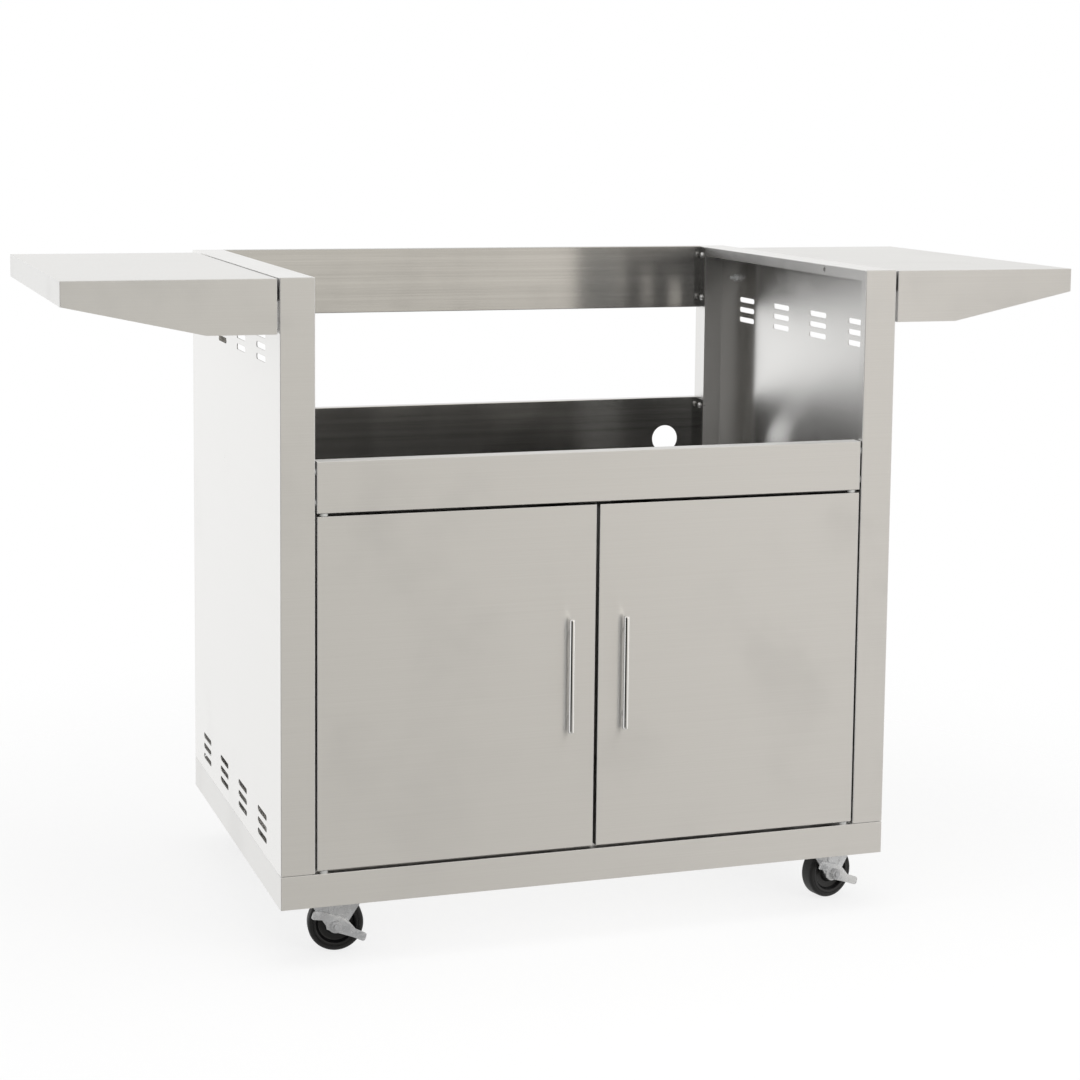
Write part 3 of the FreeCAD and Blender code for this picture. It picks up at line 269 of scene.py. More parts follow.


# Front apron
# A folded stainless channel between the front posts, above the doors, brushed along its length.
# It stands off the posts on rivet nuts, which are zinc plated.

# The apron's back, underside and ends are painted near-black as painted shade.
apron_brushed = brushed_stainless("satin_stainless_apron", along_x, sheet_dark, sheet_light,
                                  rough=0.34, drawn=1.0, banding=0.05, outside=(0, -0.8, 0.6))
dress(apron_brushed, "front_apron")
dress(bright_zinc, "rivet_nuts")


# Frame screws
# Pan head screws with a cross recess hold the feet, the ends of the back sheets and the ends of the apron.
# Plain stainless, driven from inside the cabinet.

def tree_of(name, sizes):
    """An empty geometry tree with a points input, named sizes, a finish, and a geometry output."""
    tree = bpy.data.node_groups.new(name, "GeometryNodeTree")
    tree.interface.new_socket("Seats", in_out="INPUT", socket_type="NodeSocketGeometry")
    for size in sizes:
        tree.interface.new_socket(size, in_out="INPUT", socket_type="NodeSocketFloat")
    tree.interface.new_socket("Finish", in_out="INPUT", socket_type="NodeSocketMaterial")
    tree.interface.new_socket("Fasteners", in_out="OUTPUT", socket_type="NodeSocketGeometry")
    return tree, node(tree, "NodeGroupInput"), node(tree, "NodeGroupOutput")


def raised(tree, mesh, height):
    """The mesh moved up its own axis by a height socket."""
    lift = node(tree, "ShaderNodeCombineXYZ", {"Z": height})
    moved = node(tree, "GeometryNodeTransform", {"Geometry": mesh, "Translation": lift.outputs[0]})
    return moved.outputs[0]


def threaded_shank(tree, radius, length, pitch):
    """A cylinder below the seat with a helical groove pressed into it."""
    groove_share = 0.3
    bar = node(tree, "GeometryNodeMeshCylinder",
               {"Vertices": 18, "Side Segments": 36, "Radius": radius, "Depth": length})
    spot = node(tree, "GeometryNodeInputPosition")
    parts = node(tree, "ShaderNodeSeparateXYZ", {0: spot.outputs[0]})
    round_it = figure(tree, "ARCTAN2", parts.outputs["Y"], parts.outputs["X"])
    turns = figure(tree, "ADD", figure(tree, "DIVIDE", parts.outputs["Z"], pitch),
                   figure(tree, "DIVIDE", round_it, 2 * math.pi))
    ridge = figure(tree, "PINGPONG", turns, 0.5)
    shrink = figure(tree, "MULTIPLY", ridge, -groove_share)
    flat = node(tree, "ShaderNodeCombineXYZ", {"X": parts.outputs["X"], "Y": parts.outputs["Y"]})
    inward = node(tree, "ShaderNodeVectorMath", {0: flat.outputs[0], "Scale": shrink}, operation="SCALE")
    cut = node(tree, "GeometryNodeSetPosition",
               {"Geometry": bar.outputs["Mesh"], "Offset": inward.outputs[0]})
    return raised(tree, cut.outputs[0], figure(tree, "MULTIPLY", length, -0.5))


def stand_on_seats(tree, given, out, shapes):
    """Joins the shapes, sets one fastener on every seat along its axis, and gives it the finish."""
    sharp_from = math.radians(32)
    whole = node(tree, "GeometryNodeJoinGeometry")
    for shape in shapes:
        tree.links.new(shape, whole.inputs[0])
    smooth = node(tree, "GeometryNodeSetShadeSmooth", {"Geometry": whole.outputs[0], "Shade Smooth": True},
                  domain="FACE")
    bend = node(tree, "GeometryNodeInputMeshEdgeAngle")
    is_sharp = node(tree, "FunctionNodeCompare", {0: bend.outputs["Unsigned Angle"], 1: sharp_from},
                    data_type="FLOAT", operation="GREATER_THAN")
    crisp = node(tree, "GeometryNodeSetShadeSmooth",
                 {"Geometry": smooth.outputs[0], "Selection": is_sharp.outputs[0], "Shade Smooth": False},
                 domain="EDGE")
    axis = node(tree, "GeometryNodeInputNamedAttribute", {"Name": "outward"}, data_type="FLOAT_VECTOR")
    turn = node(tree, "FunctionNodeAlignRotationToVector", {"Vector": axis.outputs["Attribute"]}, axis="Z")
    copies = node(tree, "GeometryNodeInstanceOnPoints",
                  {"Points": given.outputs["Seats"], "Instance": crisp.outputs[0],
                   "Rotation": turn.outputs[0]})
    real = node(tree, "GeometryNodeRealizeInstances", {0: copies.outputs[0]})
    coloured = node(tree, "GeometryNodeSetMaterial",
                    {"Geometry": real.outputs[0], "Material": given.outputs["Finish"]})
    tree.links.new(coloured.outputs[0], out.inputs[0])


def fasteners(name, tree, seats, sizes, finish):
    """One plain mesh of fasteners; a seat is its place and the way its head points."""
    points = bpy.data.meshes.new(name + "_seats")
    points.from_pydata([place for place, outward in seats], [], [])
    axis = points.attributes.new("outward", "FLOAT_VECTOR", "POINT")
    for index, (place, outward) in enumerate(seats):
        axis.data[index].vector = outward
    piece = bpy.data.objects.new(name, points)
    bpy.context.scene.collection.objects.link(piece)
    maker = piece.modifiers.new("maker", "NODES")
    maker.node_group = tree
    values = dict(sizes, Finish=finish)
    for socket in tree.interface.items_tree:
        if socket.in_out == "INPUT" and socket.name in values:
            maker[socket.identifier] = values[socket.name]
    piece.update_tag()
    ready = bpy.context.evaluated_depsgraph_get()
    mesh = bpy.data.meshes.new_from_object(piece.evaluated_get(ready), depsgraph=ready)
    piece.modifiers.clear()
    piece.data = mesh
    mesh.name = name
    return piece


screw_tree, screw_in, screw_out = tree_of("pan head screws", ["Head radius", "Head height", "Recess width",
                                                             "Shank radius", "Shank length", "Pitch"])
crown_power = 4.0
crown_drop = 0.55
recess_length_share = 1.15
recess_height_share = 1.3
head_radius = screw_in.outputs["Head radius"]
head_height = screw_in.outputs["Head height"]
pan = node(screw_tree, "GeometryNodeMeshCylinder",
           {"Vertices": 32, "Side Segments": 1, "Fill Segments": 6, "Radius": head_radius,
            "Depth": head_height}, fill_type="TRIANGLE_FAN")
pan_spot = node(screw_tree, "GeometryNodeInputPosition")
pan_parts = node(screw_tree, "ShaderNodeSeparateXYZ", {0: pan_spot.outputs[0]})
pan_flat = node(screw_tree, "ShaderNodeCombineXYZ",
                {"X": pan_parts.outputs["X"], "Y": pan_parts.outputs["Y"]})
pan_reach = node(screw_tree, "ShaderNodeVectorMath", {0: pan_flat.outputs[0]}, operation="LENGTH")
pan_share = figure(screw_tree, "DIVIDE", pan_reach.outputs["Value"], head_radius)
pan_fall = figure(screw_tree, "MULTIPLY", figure(screw_tree, "POWER", pan_share, crown_power),
                  figure(screw_tree, "MULTIPLY", head_height, -crown_drop))
pan_on_top = figure(screw_tree, "GREATER_THAN", pan_parts.outputs["Z"], 0.0)
pan_drop = node(screw_tree, "ShaderNodeCombineXYZ",
                {"Z": figure(screw_tree, "MULTIPLY", pan_fall, pan_on_top)})
pan_crown = node(screw_tree, "GeometryNodeSetPosition",
                 {"Geometry": pan.outputs["Mesh"], "Offset": pan_drop.outputs[0]})
recess_width = screw_in.outputs["Recess width"]
recess_long = figure(screw_tree, "MULTIPLY", head_radius, recess_length_share)
recess_tall = figure(screw_tree, "MULTIPLY", head_height, recess_height_share)
pan_cut = pan_crown.outputs[0]
for recess_x, recess_y in ((recess_long, recess_width), (recess_width, recess_long)):
    recess_size = node(screw_tree, "ShaderNodeCombineXYZ", {"X": recess_x, "Y": recess_y, "Z": recess_tall})
    recess_bar = node(screw_tree, "GeometryNodeMeshCube", {"Size": recess_size.outputs[0]})
    recess = raised(screw_tree, recess_bar.outputs["Mesh"], head_height)
    recess_cut = node(screw_tree, "GeometryNodeMeshBoolean", {"Mesh 1": pan_cut, "Mesh 2": recess},
                      operation="DIFFERENCE", solver="EXACT")
    pan_cut = recess_cut.outputs["Mesh"]
pan_head = raised(screw_tree, pan_cut, figure(screw_tree, "MULTIPLY", head_height, 0.5))
screw_shank = threaded_shank(screw_tree, screw_in.outputs["Shank radius"], screw_in.outputs["Shank length"],
                             screw_in.outputs["Pitch"])
stand_on_seats(screw_tree, screw_in, screw_out, [pan_head, screw_shank])

screw_steel = zinc_plated("plain_screw_steel", dark=(0.60, 0.60, 0.59, 1), light=(0.82, 0.82, 0.81, 1),
                          rough=0.22, shine=0.75)
sheet_thick = 0.0012
foot_screw_inset = 0.008
foot_screw_depths = (0.110, 0.295, 0.480)
end_screw_depth = 0.0105
rail_screw_drops = (0.014, 0.082)
panel_screw_drops = (0.013, 0.260, 0.505)
apron_screw_depth = 0.008
apron_screw_rises = (-0.020, 0.020)
back_foot_inset = 0.0075
back_foot_xs = (-0.250, 0, 0.250)
base_low, base_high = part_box("base_pan")
rail_low, rail_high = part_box("rear_top_rail")
panel_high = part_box("rear_lower_panel")[1]
apron_low, apron_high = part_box("front_apron")
foot_seat_z = base_high.z + sheet_thick
foot_x = base_high.x - sheet_thick - foot_screw_inset
end_y = rail_low.y + end_screw_depth
apron_middle_z = (apron_low.z + apron_high.z) / 2
screw_seats = []
for side in (-1, 1):
    for depth in foot_screw_depths:
        screw_seats.append(((side * foot_x, base_low.y + depth, foot_seat_z), (0, 0, 1)))
    for drop in rail_screw_drops:
        rail_seat = (side * (rail_high.x - sheet_thick), end_y, rail_high.z - drop)
        screw_seats.append((rail_seat, (-side, 0, 0)))
    for drop in panel_screw_drops:
        panel_seat = (side * (panel_high.x - sheet_thick), end_y, panel_high.z - drop)
        screw_seats.append((panel_seat, (-side, 0, 0)))
    for rise in apron_screw_rises:
        apron_seat = (side * (apron_high.x - sheet_thick), apron_low.y + apron_screw_depth,
                      apron_middle_z + rise)
        screw_seats.append((apron_seat, (-side, 0, 0)))
for x in back_foot_xs:
    screw_seats.append(((x, panel_high.y - back_foot_inset, foot_seat_z), (0, 0, 1)))
screw_sizes = {"Head radius": 0.0045, "Head height": 0.003, "Recess width": 0.0011, "Shank radius": 0.0024,
               "Shank length": 0.008, "Pitch": 0.0008}
screws = fasteners("frame_screw_set", screw_tree, screw_seats, screw_sizes, screw_steel)
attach(screws, "cabinet")
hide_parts("frame_screws")


# Shelves
# Each shelf is a shallow folded pan with skirts that taper towards its tip, brushed along its length.
# It hangs on a zinc plated bracket plate, and hex bolts with nuts hold both to the side panel.

dress(long_brushed, "left_shelf", "right_shelf")
dress(bright_zinc, "left_shelf_bracket", "right_shelf_bracket")


def hex_block(tree, flats, height, both_ends):
    """A hexagonal block on the seat, with its corners turned off at the top, or at both ends."""
    face_share = 0.48
    cone_slope = 1.7
    cone_over = 0.25
    cone_sides = 48
    across = figure(tree, "DIVIDE", flats, math.sqrt(3))
    prism = node(tree, "GeometryNodeMeshCylinder", {"Vertices": 6, "Radius": across, "Depth": height})
    shape = prism.outputs["Mesh"]
    face = figure(tree, "MULTIPLY", flats, face_share)
    narrow = figure(tree, "ADD", face, figure(tree, "MULTIPLY", height, -cone_slope * cone_over))
    wide = figure(tree, "ADD", face, figure(tree, "MULTIPLY", height, cone_slope * (1 + cone_over)))
    deep = figure(tree, "MULTIPLY", height, 1 + 2 * cone_over)
    ends = (1, -1) if both_ends else (1,)
    for end in ends:
        top, bottom = (narrow, wide) if end == 1 else (wide, narrow)
        cone = node(tree, "GeometryNodeMeshCone", {"Vertices": cone_sides, "Radius Top": top,
                                                   "Radius Bottom": bottom, "Depth": deep})
        offset_cone = node(tree, "GeometryNodeTransform", {"Geometry": cone.outputs["Mesh"],
                                                           "Rotation": (0, 0, math.pi / cone_sides)})
        sunk = raised(tree, offset_cone.outputs[0], figure(tree, "MULTIPLY", deep, -0.5))
        meet = node(tree, "GeometryNodeMeshBoolean", operation="INTERSECT", solver="EXACT")
        tree.links.new(shape, meet.inputs["Mesh 2"])
        tree.links.new(sunk, meet.inputs["Mesh 2"])
        shape = meet.outputs["Mesh"]
    return raised(tree, shape, figure(tree, "MULTIPLY", height, 0.5))


bolt_tree, bolt_in, bolt_out = tree_of("hex bolts", ["Flats", "Head height", "Shank radius", "Shank length",
                                                     "Pitch"])
bolt_head = hex_block(bolt_tree, bolt_in.outputs["Flats"], bolt_in.outputs["Head height"], both_ends=False)
bolt_shank = threaded_shank(bolt_tree, bolt_in.outputs["Shank radius"], bolt_in.outputs["Shank length"],
                            bolt_in.outputs["Pitch"])
stand_on_seats(bolt_tree, bolt_in, bolt_out, [bolt_head, bolt_shank])

nut_tree, nut_in, nut_out = tree_of("hex nuts", ["Flats", "Nut height", "Bore radius"])
drill_share = 4.0
nut_block = hex_block(nut_tree, nut_in.outputs["Flats"], nut_in.outputs["Nut height"], both_ends=True)
drill_length = figure(nut_tree, "MULTIPLY", nut_in.outputs["Nut height"], drill_share)
nut_drill = node(nut_tree, "GeometryNodeMeshCylinder",
                 {"Vertices": 32, "Radius": nut_in.outputs["Bore radius"], "Depth": drill_length})
nut_bored = node(nut_tree, "GeometryNodeMeshBoolean",
                 {"Mesh 1": nut_block, "Mesh 2": nut_drill.outputs["Mesh"]},
                 operation="DIFFERENCE", solver="EXACT")
stand_on_seats(nut_tree, nut_in, nut_out, [nut_bored.outputs["Mesh"]])

bolt_sizes = {"Flats": 0.010, "Head height": 0.004, "Shank radius": 0.003, "Pitch": 0.001}
nut_sizes = {"Flats": 0.010, "Nut height": 0.005, "Bore radius": 0.00305}
bolt_front_inset = 0.0285
bolt_back_inset = 0.012
bolt_drop = 0.048
bolt_past_wall = 0.012
shelf_low, shelf_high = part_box("right_shelf")
side_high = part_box("right_side_panel")[1]
bolt_x = shelf_low.x + sheet_thick
nut_x = side_high.x - sheet_thick
bolt_z = side_high.z - bolt_drop
bolt_seats = []
nut_seats = []
for side in (-1, 1):
    for y in (shelf_low.y + bolt_front_inset, shelf_high.y - bolt_back_inset):
        bolt_seats.append(((side * bolt_x, y, bolt_z), (side, 0, 0)))
        nut_seats.append(((side * nut_x, y, bolt_z), (-side, 0, 0)))
shelf_bolt_sizes = dict(bolt_sizes, **{"Shank length": bolt_x - (nut_x - bolt_past_wall)})
shelf_bolts = fasteners("shelf_bolt_set", bolt_tree, bolt_seats, shelf_bolt_sizes, bright_zinc)
shelf_nuts = fasteners("shelf_nut_set", nut_tree, nut_seats, nut_sizes, bright_zinc)
for piece, stands_for in ((shelf_bolts, "shelf_bolts"), (shelf_nuts, "shelf_nuts")):
    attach(piece, "cabinet")
    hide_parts(stands_for)


# Doors
# Two folded stainless pans, brushed from side to side, that swing on pins at their outer corners.
# Each has a zinc plated strike plate inside its top edge for the magnetic catch.

# The doors' backs and edges are painted near-black as painted shade.
door_brushed = brushed_stainless("satin_stainless_door", along_x, sheet_dark, sheet_light,
                                 rough=0.34, drawn=1.0, banding=0.05, outside=(0, -1, 0))
dress(door_brushed, "left_door_skin", "right_door_skin")
dress(bright_zinc, "left_strike_plate", "right_strike_plate")


# Door handles
# A polished round bar on two turned posts, held by pan head screws from inside each door.
# The bar is drawn stainless with chamfered ends, bright enough to mirror the room.

def outline_turned(name, outline, foot, along, steps, ring, finish):
    """Turns an outline of radius and height about a line from the foot; a ring outline closes on itself."""
    sharp_from = math.radians(32)
    lift = Vector(along).normalized()
    out = lift.orthogonal().normalized()
    around = lift.cross(out)
    start = Vector(foot)
    work = bmesh.new()
    rows = []
    for step in range(steps):
        angle = 2 * math.pi * step / steps
        spoke = out * math.cos(angle) + around * math.sin(angle)
        rows.append([work.verts.new(start + spoke * radius + lift * height) for radius, height in outline])
    count = len(outline)
    for step in range(steps):
        near = rows[step]
        far = rows[(step + 1) % steps]
        for index in range(count if ring else count - 1):
            after = (index + 1) % count
            work.faces.new((near[index], far[index], far[after], near[after]))
    bmesh.ops.remove_doubles(work, verts=work.verts, dist=1e-6)
    bmesh.ops.recalc_face_normals(work, faces=work.faces)
    mesh = bpy.data.meshes.new(name)
    work.to_mesh(mesh)
    work.free()
    mesh.shade_smooth()
    mesh.set_sharp_from_angle(angle=sharp_from)
    mesh.materials.append(finish)
    piece = bpy.data.objects.new(name, mesh)
    bpy.context.scene.collection.objects.link(piece)
    return piece


def joined(name, pieces):
    """Several meshes of one finish made into one piece."""
    work = bmesh.new()
    for piece in pieces:
        work.from_mesh(piece.data)
    mesh = bpy.data.meshes.new(name)
    work.to_mesh(mesh)
    work.free()
    mesh.materials.append(pieces[0].data.materials[0])
    for piece in pieces:
        bpy.data.objects.remove(piece)
    whole = bpy.data.objects.new(name, mesh)
    bpy.context.scene.collection.objects.link(whole)
    return whole


def same_from_both_ends(half, length):
    """An outline of radius and height whose second half mirrors the first."""
    return half + [(radius, length - height) for radius, height in reversed(half)]


bar_lines = (900.0, 900.0, 30.0)
bar_dark = (0.80, 0.795, 0.78, 1)
bar_light = (0.92, 0.915, 0.905, 1)
bar_smudge_size = 70.0
bar_smudge_rough = 0.05
bar_rough = 0.035
bar_relief_strength = 0.05
bar_relief_depth = 0.00005
polished, polished_tree, polished_metal = new_finish("polished_bar")
polished_metal.inputs["Metallic"].default_value = 1.0
polished_lines = node(polished_tree, "ShaderNodeGroup", {"Stretch": bar_lines}, node_tree=grain)
polished_touch = node(polished_tree, "ShaderNodeGroup", {"Size": bar_smudge_size}, node_tree=marks)
polished_colour = blend(polished_tree, polished_lines.outputs["Streak"], bar_dark, bar_light)
polished_tree.links.new(polished_colour, polished_metal.inputs["Base Color"])
polished_rough = scaled_sum(polished_tree, polished_touch.outputs["Smudge"], bar_smudge_rough, bar_rough)
polished_tree.links.new(polished_rough, polished_metal.inputs["Roughness"])
press_relief(polished_tree, polished_metal, polished_lines.outputs["Streak"], bar_relief_strength,
             bar_relief_depth)

bar_radius = 0.004
bar_chamfer = 0.0008
bar_shoulder_in = 0.0002
bar_shoulder_up = 0.0006
bar_fade = 0.0004
bar_straight = 0.003
bar_steps = 48
post_radius = 0.003
post_edge_in = 0.0003
post_edge_up = 0.0004
post_waist_share = 0.9
post_waist_start = 0.35
post_steps = 40
handle_screw_height = 0.002
handle_screw_sizes = {"Head radius": 0.003, "Head height": handle_screw_height, "Recess width": 0.0008,
                      "Shank radius": 0.0015, "Shank length": 0.0055, "Pitch": 0.0005}
bar_half = [(0, 0), (bar_radius - bar_chamfer, 0), (bar_radius - bar_shoulder_in, bar_shoulder_up),
            (bar_radius, bar_chamfer + bar_fade), (bar_radius, bar_straight)]
for side in ("left", "right"):
    low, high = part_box(side + "_handle_bar")
    bar_outline = same_from_both_ends(bar_half, high.z - low.z)
    middle = (low + high) / 2
    bar = outline_turned(side + "_bar", bar_outline, (middle.x, middle.y, low.z), (0, 0, 1), bar_steps,
                         ring=False, finish=polished)
    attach(bar, side + "_door")
    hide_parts(side + "_handle_bar")
    post_low, post_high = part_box(side + "_handle_posts")
    post_zs = (post_low.z + post_radius, post_high.z - post_radius)
    reach = post_high.y - post_low.y
    post_half = [(0, 0), (post_radius - post_edge_in, 0), (post_radius, post_edge_up),
                 (post_radius, reach * post_waist_start)]
    post_outline = same_from_both_ends(post_half, reach)
    post_outline.insert(len(post_half), (post_radius * post_waist_share, reach / 2))
    posts = [outline_turned(side + "_post", post_outline, (middle.x, post_low.y, z), (0, 1, 0), post_steps,
                            ring=False, finish=polished) for z in post_zs]
    pair = joined(side + "_post_pair", posts)
    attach(pair, side + "_door")
    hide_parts(side + "_handle_posts")
    screw_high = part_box(side + "_handle_screws")[1]
    handle_seats = [((middle.x, screw_high.y - handle_screw_height, z), (0, 1, 0)) for z in post_zs]
    handle_screws = fasteners(side + "_handle_screw_pair", screw_tree, handle_seats, handle_screw_sizes,
                              bright_zinc)
    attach(handle_screws, side + "_door")
    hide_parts(side + "_handle_screws")


# Door pivots and catches
# Zinc plated pins turn in white nylon bushes pressed into the base pan and the apron.
# Black moulded catches with magnets hang under the apron near the middle.

def moulded(name, dark, light, rough, pebble):
    """Moulded plastic or rubber: slight colour drift, a fine pebbled skin and duller patches."""
    patch_size = 60.0
    grit_rough = 0.2
    relief_strength = 0.35
    relief_depth = 0.0002
    finish, tree, skin = new_finish(name)
    touch = node(tree, "ShaderNodeGroup", {"Size": patch_size}, node_tree=marks)
    spot = node(tree, "ShaderNodeTexCoord")
    grit = node(tree, "ShaderNodeTexNoise",
                {"Vector": spot.outputs["Object"], "Scale": pebble, "Detail": 3.0})
    tree.links.new(blend(tree, touch.outputs["Smudge"], dark, light), skin.inputs["Base Color"])
    patchy = scaled_sum(tree, grit.outputs[0], grit_rough, rough)
    tree.links.new(patchy, skin.inputs["Roughness"])
    press_relief(tree, skin, grit.outputs[0], relief_strength, relief_depth)
    return finish


white_nylon = moulded("white_nylon", dark=(0.82, 0.82, 0.79, 1), light=(0.88, 0.88, 0.86, 1),
                      rough=0.32, pebble=900.0)
black_plastic = moulded("black_plastic", dark=(0.003, 0.003, 0.0035, 1), light=(0.006, 0.006, 0.0065, 1),
                        rough=0.3, pebble=1500.0)
dress(white_nylon, "door_bushes")
dress(black_plastic, "door_catches")
dress(bright_zinc, "left_pivot_pins", "right_pivot_pins")


# Caster plates and swivels
# Square zinc plated plates bolt up into the channels, four hex bolts each with nuts above.
# A riveted kingpin holds each fork under a ring of bearing balls.

dress(bright_zinc, "caster_plates", "kingpins", "swivel_balls")

plate_half = 0.032
plate_hole = 0.0235
channel_sheet = 0.002
plate_bolt_sizes = dict(bolt_sizes, **{"Shank length": 0.0105})
plate_low, plate_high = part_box("caster_plates")
caster_x = plate_high.x - plate_half
caster_front = plate_low.y + plate_half
caster_back = plate_high.y - plate_half
plate_bolt_seats = []
plate_nut_seats = []
for x in (-caster_x, caster_x):
    for y in (caster_front, caster_back):
        for across in (-plate_hole, plate_hole):
            for along in (-plate_hole, plate_hole):
                plate_bolt_seats.append(((x + across, y + along, plate_low.z), (0, 0, -1)))
                plate_nut_seats.append(((x + across, y + along, plate_high.z + channel_sheet), (0, 0, 1)))
plate_bolts = fasteners("caster_bolt_set", bolt_tree, plate_bolt_seats, plate_bolt_sizes, bright_zinc)
plate_nuts = fasteners("caster_nut_set", nut_tree, plate_nut_seats, nut_sizes, bright_zinc)
for piece, stands_for in ((plate_bolts, "caster_bolts"), (plate_nuts, "caster_nuts")):
    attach(piece, "cabinet")
    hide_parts(stands_for)


# Caster forks, brake levers and axles
# Forks are pressed from zinc plated sheet; the front ones carry a stamped brake lever on the axle.
# The axle is a hex bolt with a nut, through a plain steel bush.

def softened_copy(name, node_name, finish, width):
    """A joined copy of a CAD node with its pressed edges rounded over."""
    flat_within = math.radians(0.5)
    edge_from = math.radians(40)
    sharp_from = math.radians(28)
    work = bmesh.new()
    work.from_mesh(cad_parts[node_name].data)
    bmesh.ops.remove_doubles(work, verts=work.verts, dist=1e-6)
    bmesh.ops.dissolve_limit(work, angle_limit=flat_within, verts=work.verts, edges=work.edges)
    mesh = bpy.data.meshes.new(name)
    work.to_mesh(mesh)
    work.free()
    mesh.materials.clear()
    mesh.materials.append(finish)
    piece = bpy.data.objects.new(name, mesh)
    bpy.context.scene.collection.objects.link(piece)
    rounding = piece.modifiers.new("rounding", "BEVEL")
    rounding.width = width
    rounding.segments = 2
    rounding.limit_method = "ANGLE"
    rounding.angle_limit = edge_from
    rounding.use_clamp_overlap = True
    ready = bpy.context.evaluated_depsgraph_get()
    rounded = bpy.data.meshes.new_from_object(piece.evaluated_get(ready), depsgraph=ready)
    piece.modifiers.clear()
    piece.data = rounded
    rounded.shade_smooth()
    rounded.set_sharp_from_angle(angle=sharp_from)
    return piece


caster_turns = {"front_left": -8.0, "front_right": 14.0, "rear_left": 10.0, "rear_right": 13.0}
trail = 0.022
axle_z = 0.0375
axle_lines = {}
for corner, turn in caster_turns.items():
    swivel_x = caster_x if corner.endswith("right") else -caster_x
    swivel_y = caster_front if corner.startswith("front") else caster_back
    heading = math.radians(turn)
    hub = Vector((swivel_x + trail * math.cos(heading), swivel_y + trail * math.sin(heading), axle_z))
    inward = Vector((-math.sin(heading), math.cos(heading), 0))
    axle_lines[corner] = (hub, inward)

pressed_edge = 0.0004
fork_outer = 0.0155
lever_room = 0.0026
axle_end = 0.0018
axle_sizes = {"Flats": 0.013, "Head height": 0.0053, "Shank radius": 0.004, "Pitch": 0.00125}
axle_nut_sizes = {"Flats": 0.013, "Nut height": 0.0065, "Bore radius": 0.00405}
for corner, (hub, inward) in axle_lines.items():
    swivel = corner + "_swivel"
    braked = corner.startswith("front")
    fork = softened_copy(corner + "_pressed_fork", corner + "_fork", bright_zinc, pressed_edge)
    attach(fork, swivel)
    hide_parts(corner + "_fork")
    if braked:
        lever = softened_copy(corner + "_stamped_lever", corner + "_brake_lever", bright_zinc, pressed_edge)
        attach(lever, corner + "_brake")
        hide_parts(corner + "_brake_lever")
    head_seat = hub + inward * fork_outer
    nut_seat = hub - inward * (fork_outer + (lever_room if braked else 0))
    shank = (head_seat - nut_seat).length + axle_nut_sizes["Nut height"] + axle_end
    bolt = fasteners(corner + "_axle_bolt", bolt_tree, [(head_seat, inward)],
                     dict(axle_sizes, **{"Shank length": shank}), bright_zinc)
    nut = fasteners(corner + "_axle_nut", nut_tree, [(nut_seat, -inward)], axle_nut_sizes, bright_zinc)
    axle = joined(corner + "_axle_set", [bolt, nut])
    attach(axle, swivel)
    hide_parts(corner + "_axle")
    dress(bright_zinc, corner + "_bush")


# Wheels and tyres
# Each wheel is a black moulded hub with a thick web, a boss around the axle and a deep rim.
# A smooth dark rubber tyre is moulded on it, a little greyer in random patches.

tyre_rubber = moulded("tyre_rubber", dark=(0.006, 0.006, 0.0063, 1), light=(0.012, 0.012, 0.0125, 1),
                      rough=0.5, pebble=700.0)


def rounded_outline(corners, radius):
    """A closed outline with each corner rounded by three short steps."""
    most_of_side = 0.4
    corner_shares = (0, 0.33, 0.67, 1)
    smooth = []
    count = len(corners)
    for index, corner in enumerate(corners):
        here = Vector(corner)
        before = Vector(corners[index - 1]) - here
        after = Vector(corners[(index + 1) % count]) - here
        cut = min(radius, before.length * most_of_side, after.length * most_of_side)
        start = here + before.normalized() * cut
        end = here + after.normalized() * cut
        for share in corner_shares:
            smooth.append(tuple((start.lerp(here, share)).lerp(here.lerp(end, share), share)))
    return smooth


half_width = 0.012
tyre_inset = 0.001
wheel_radius = 0.0375
rim_radius = 0.031
rim_inner = 0.027
boss_radius = 0.012
bore_radius = 0.00615
web_half = 0.0055
hub_corner = 0.0012
hub_steps = 72
shoulder = 0.0045
shoulder_steps = 8
tyre_gap = 0.00005
tyre_steps = 96
slope = half_width - web_half
tread_half = half_width - tyre_inset
hub_half = [(bore_radius, -half_width), (boss_radius, -half_width), (boss_radius + slope / 2, -web_half),
            (rim_inner - slope / 2, -web_half), (rim_inner, -tread_half), (rim_radius, -tread_half)]
hub_outline = rounded_outline(same_from_both_ends(hub_half, 0), hub_corner)
tyre_low = rim_radius + tyre_gap
tyre_outline = [(tyre_low, tread_half), (tyre_low, -tread_half)]
for end in (-1, 1):
    for step in range(shoulder_steps + 1):
        turned = 90 * step / shoulder_steps
        angle = math.radians(turned if end == -1 else 90 - turned)
        tyre_outline.append((wheel_radius - shoulder + shoulder * math.sin(angle),
                             end * (tread_half - shoulder + shoulder * math.cos(angle))))
for corner, (hub, inward) in axle_lines.items():
    wheel = outline_turned(corner + "_hub", hub_outline, hub, inward, hub_steps, ring=True,
                           finish=black_plastic)
    tyre = outline_turned(corner + "_tread", tyre_outline, hub, inward, tyre_steps, ring=True,
                          finish=tyre_rubber)
    for piece, part, slot in ((wheel, "_wheel", "black_plastic"), (tyre, "_tyre", "tyre_rubber")):
        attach(piece, corner + "_roller")
        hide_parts(corner + part)


# Studio floor
# A plain pale floor under the wheels that fades into the white backdrop.
# It keeps the cart's soft shadow.

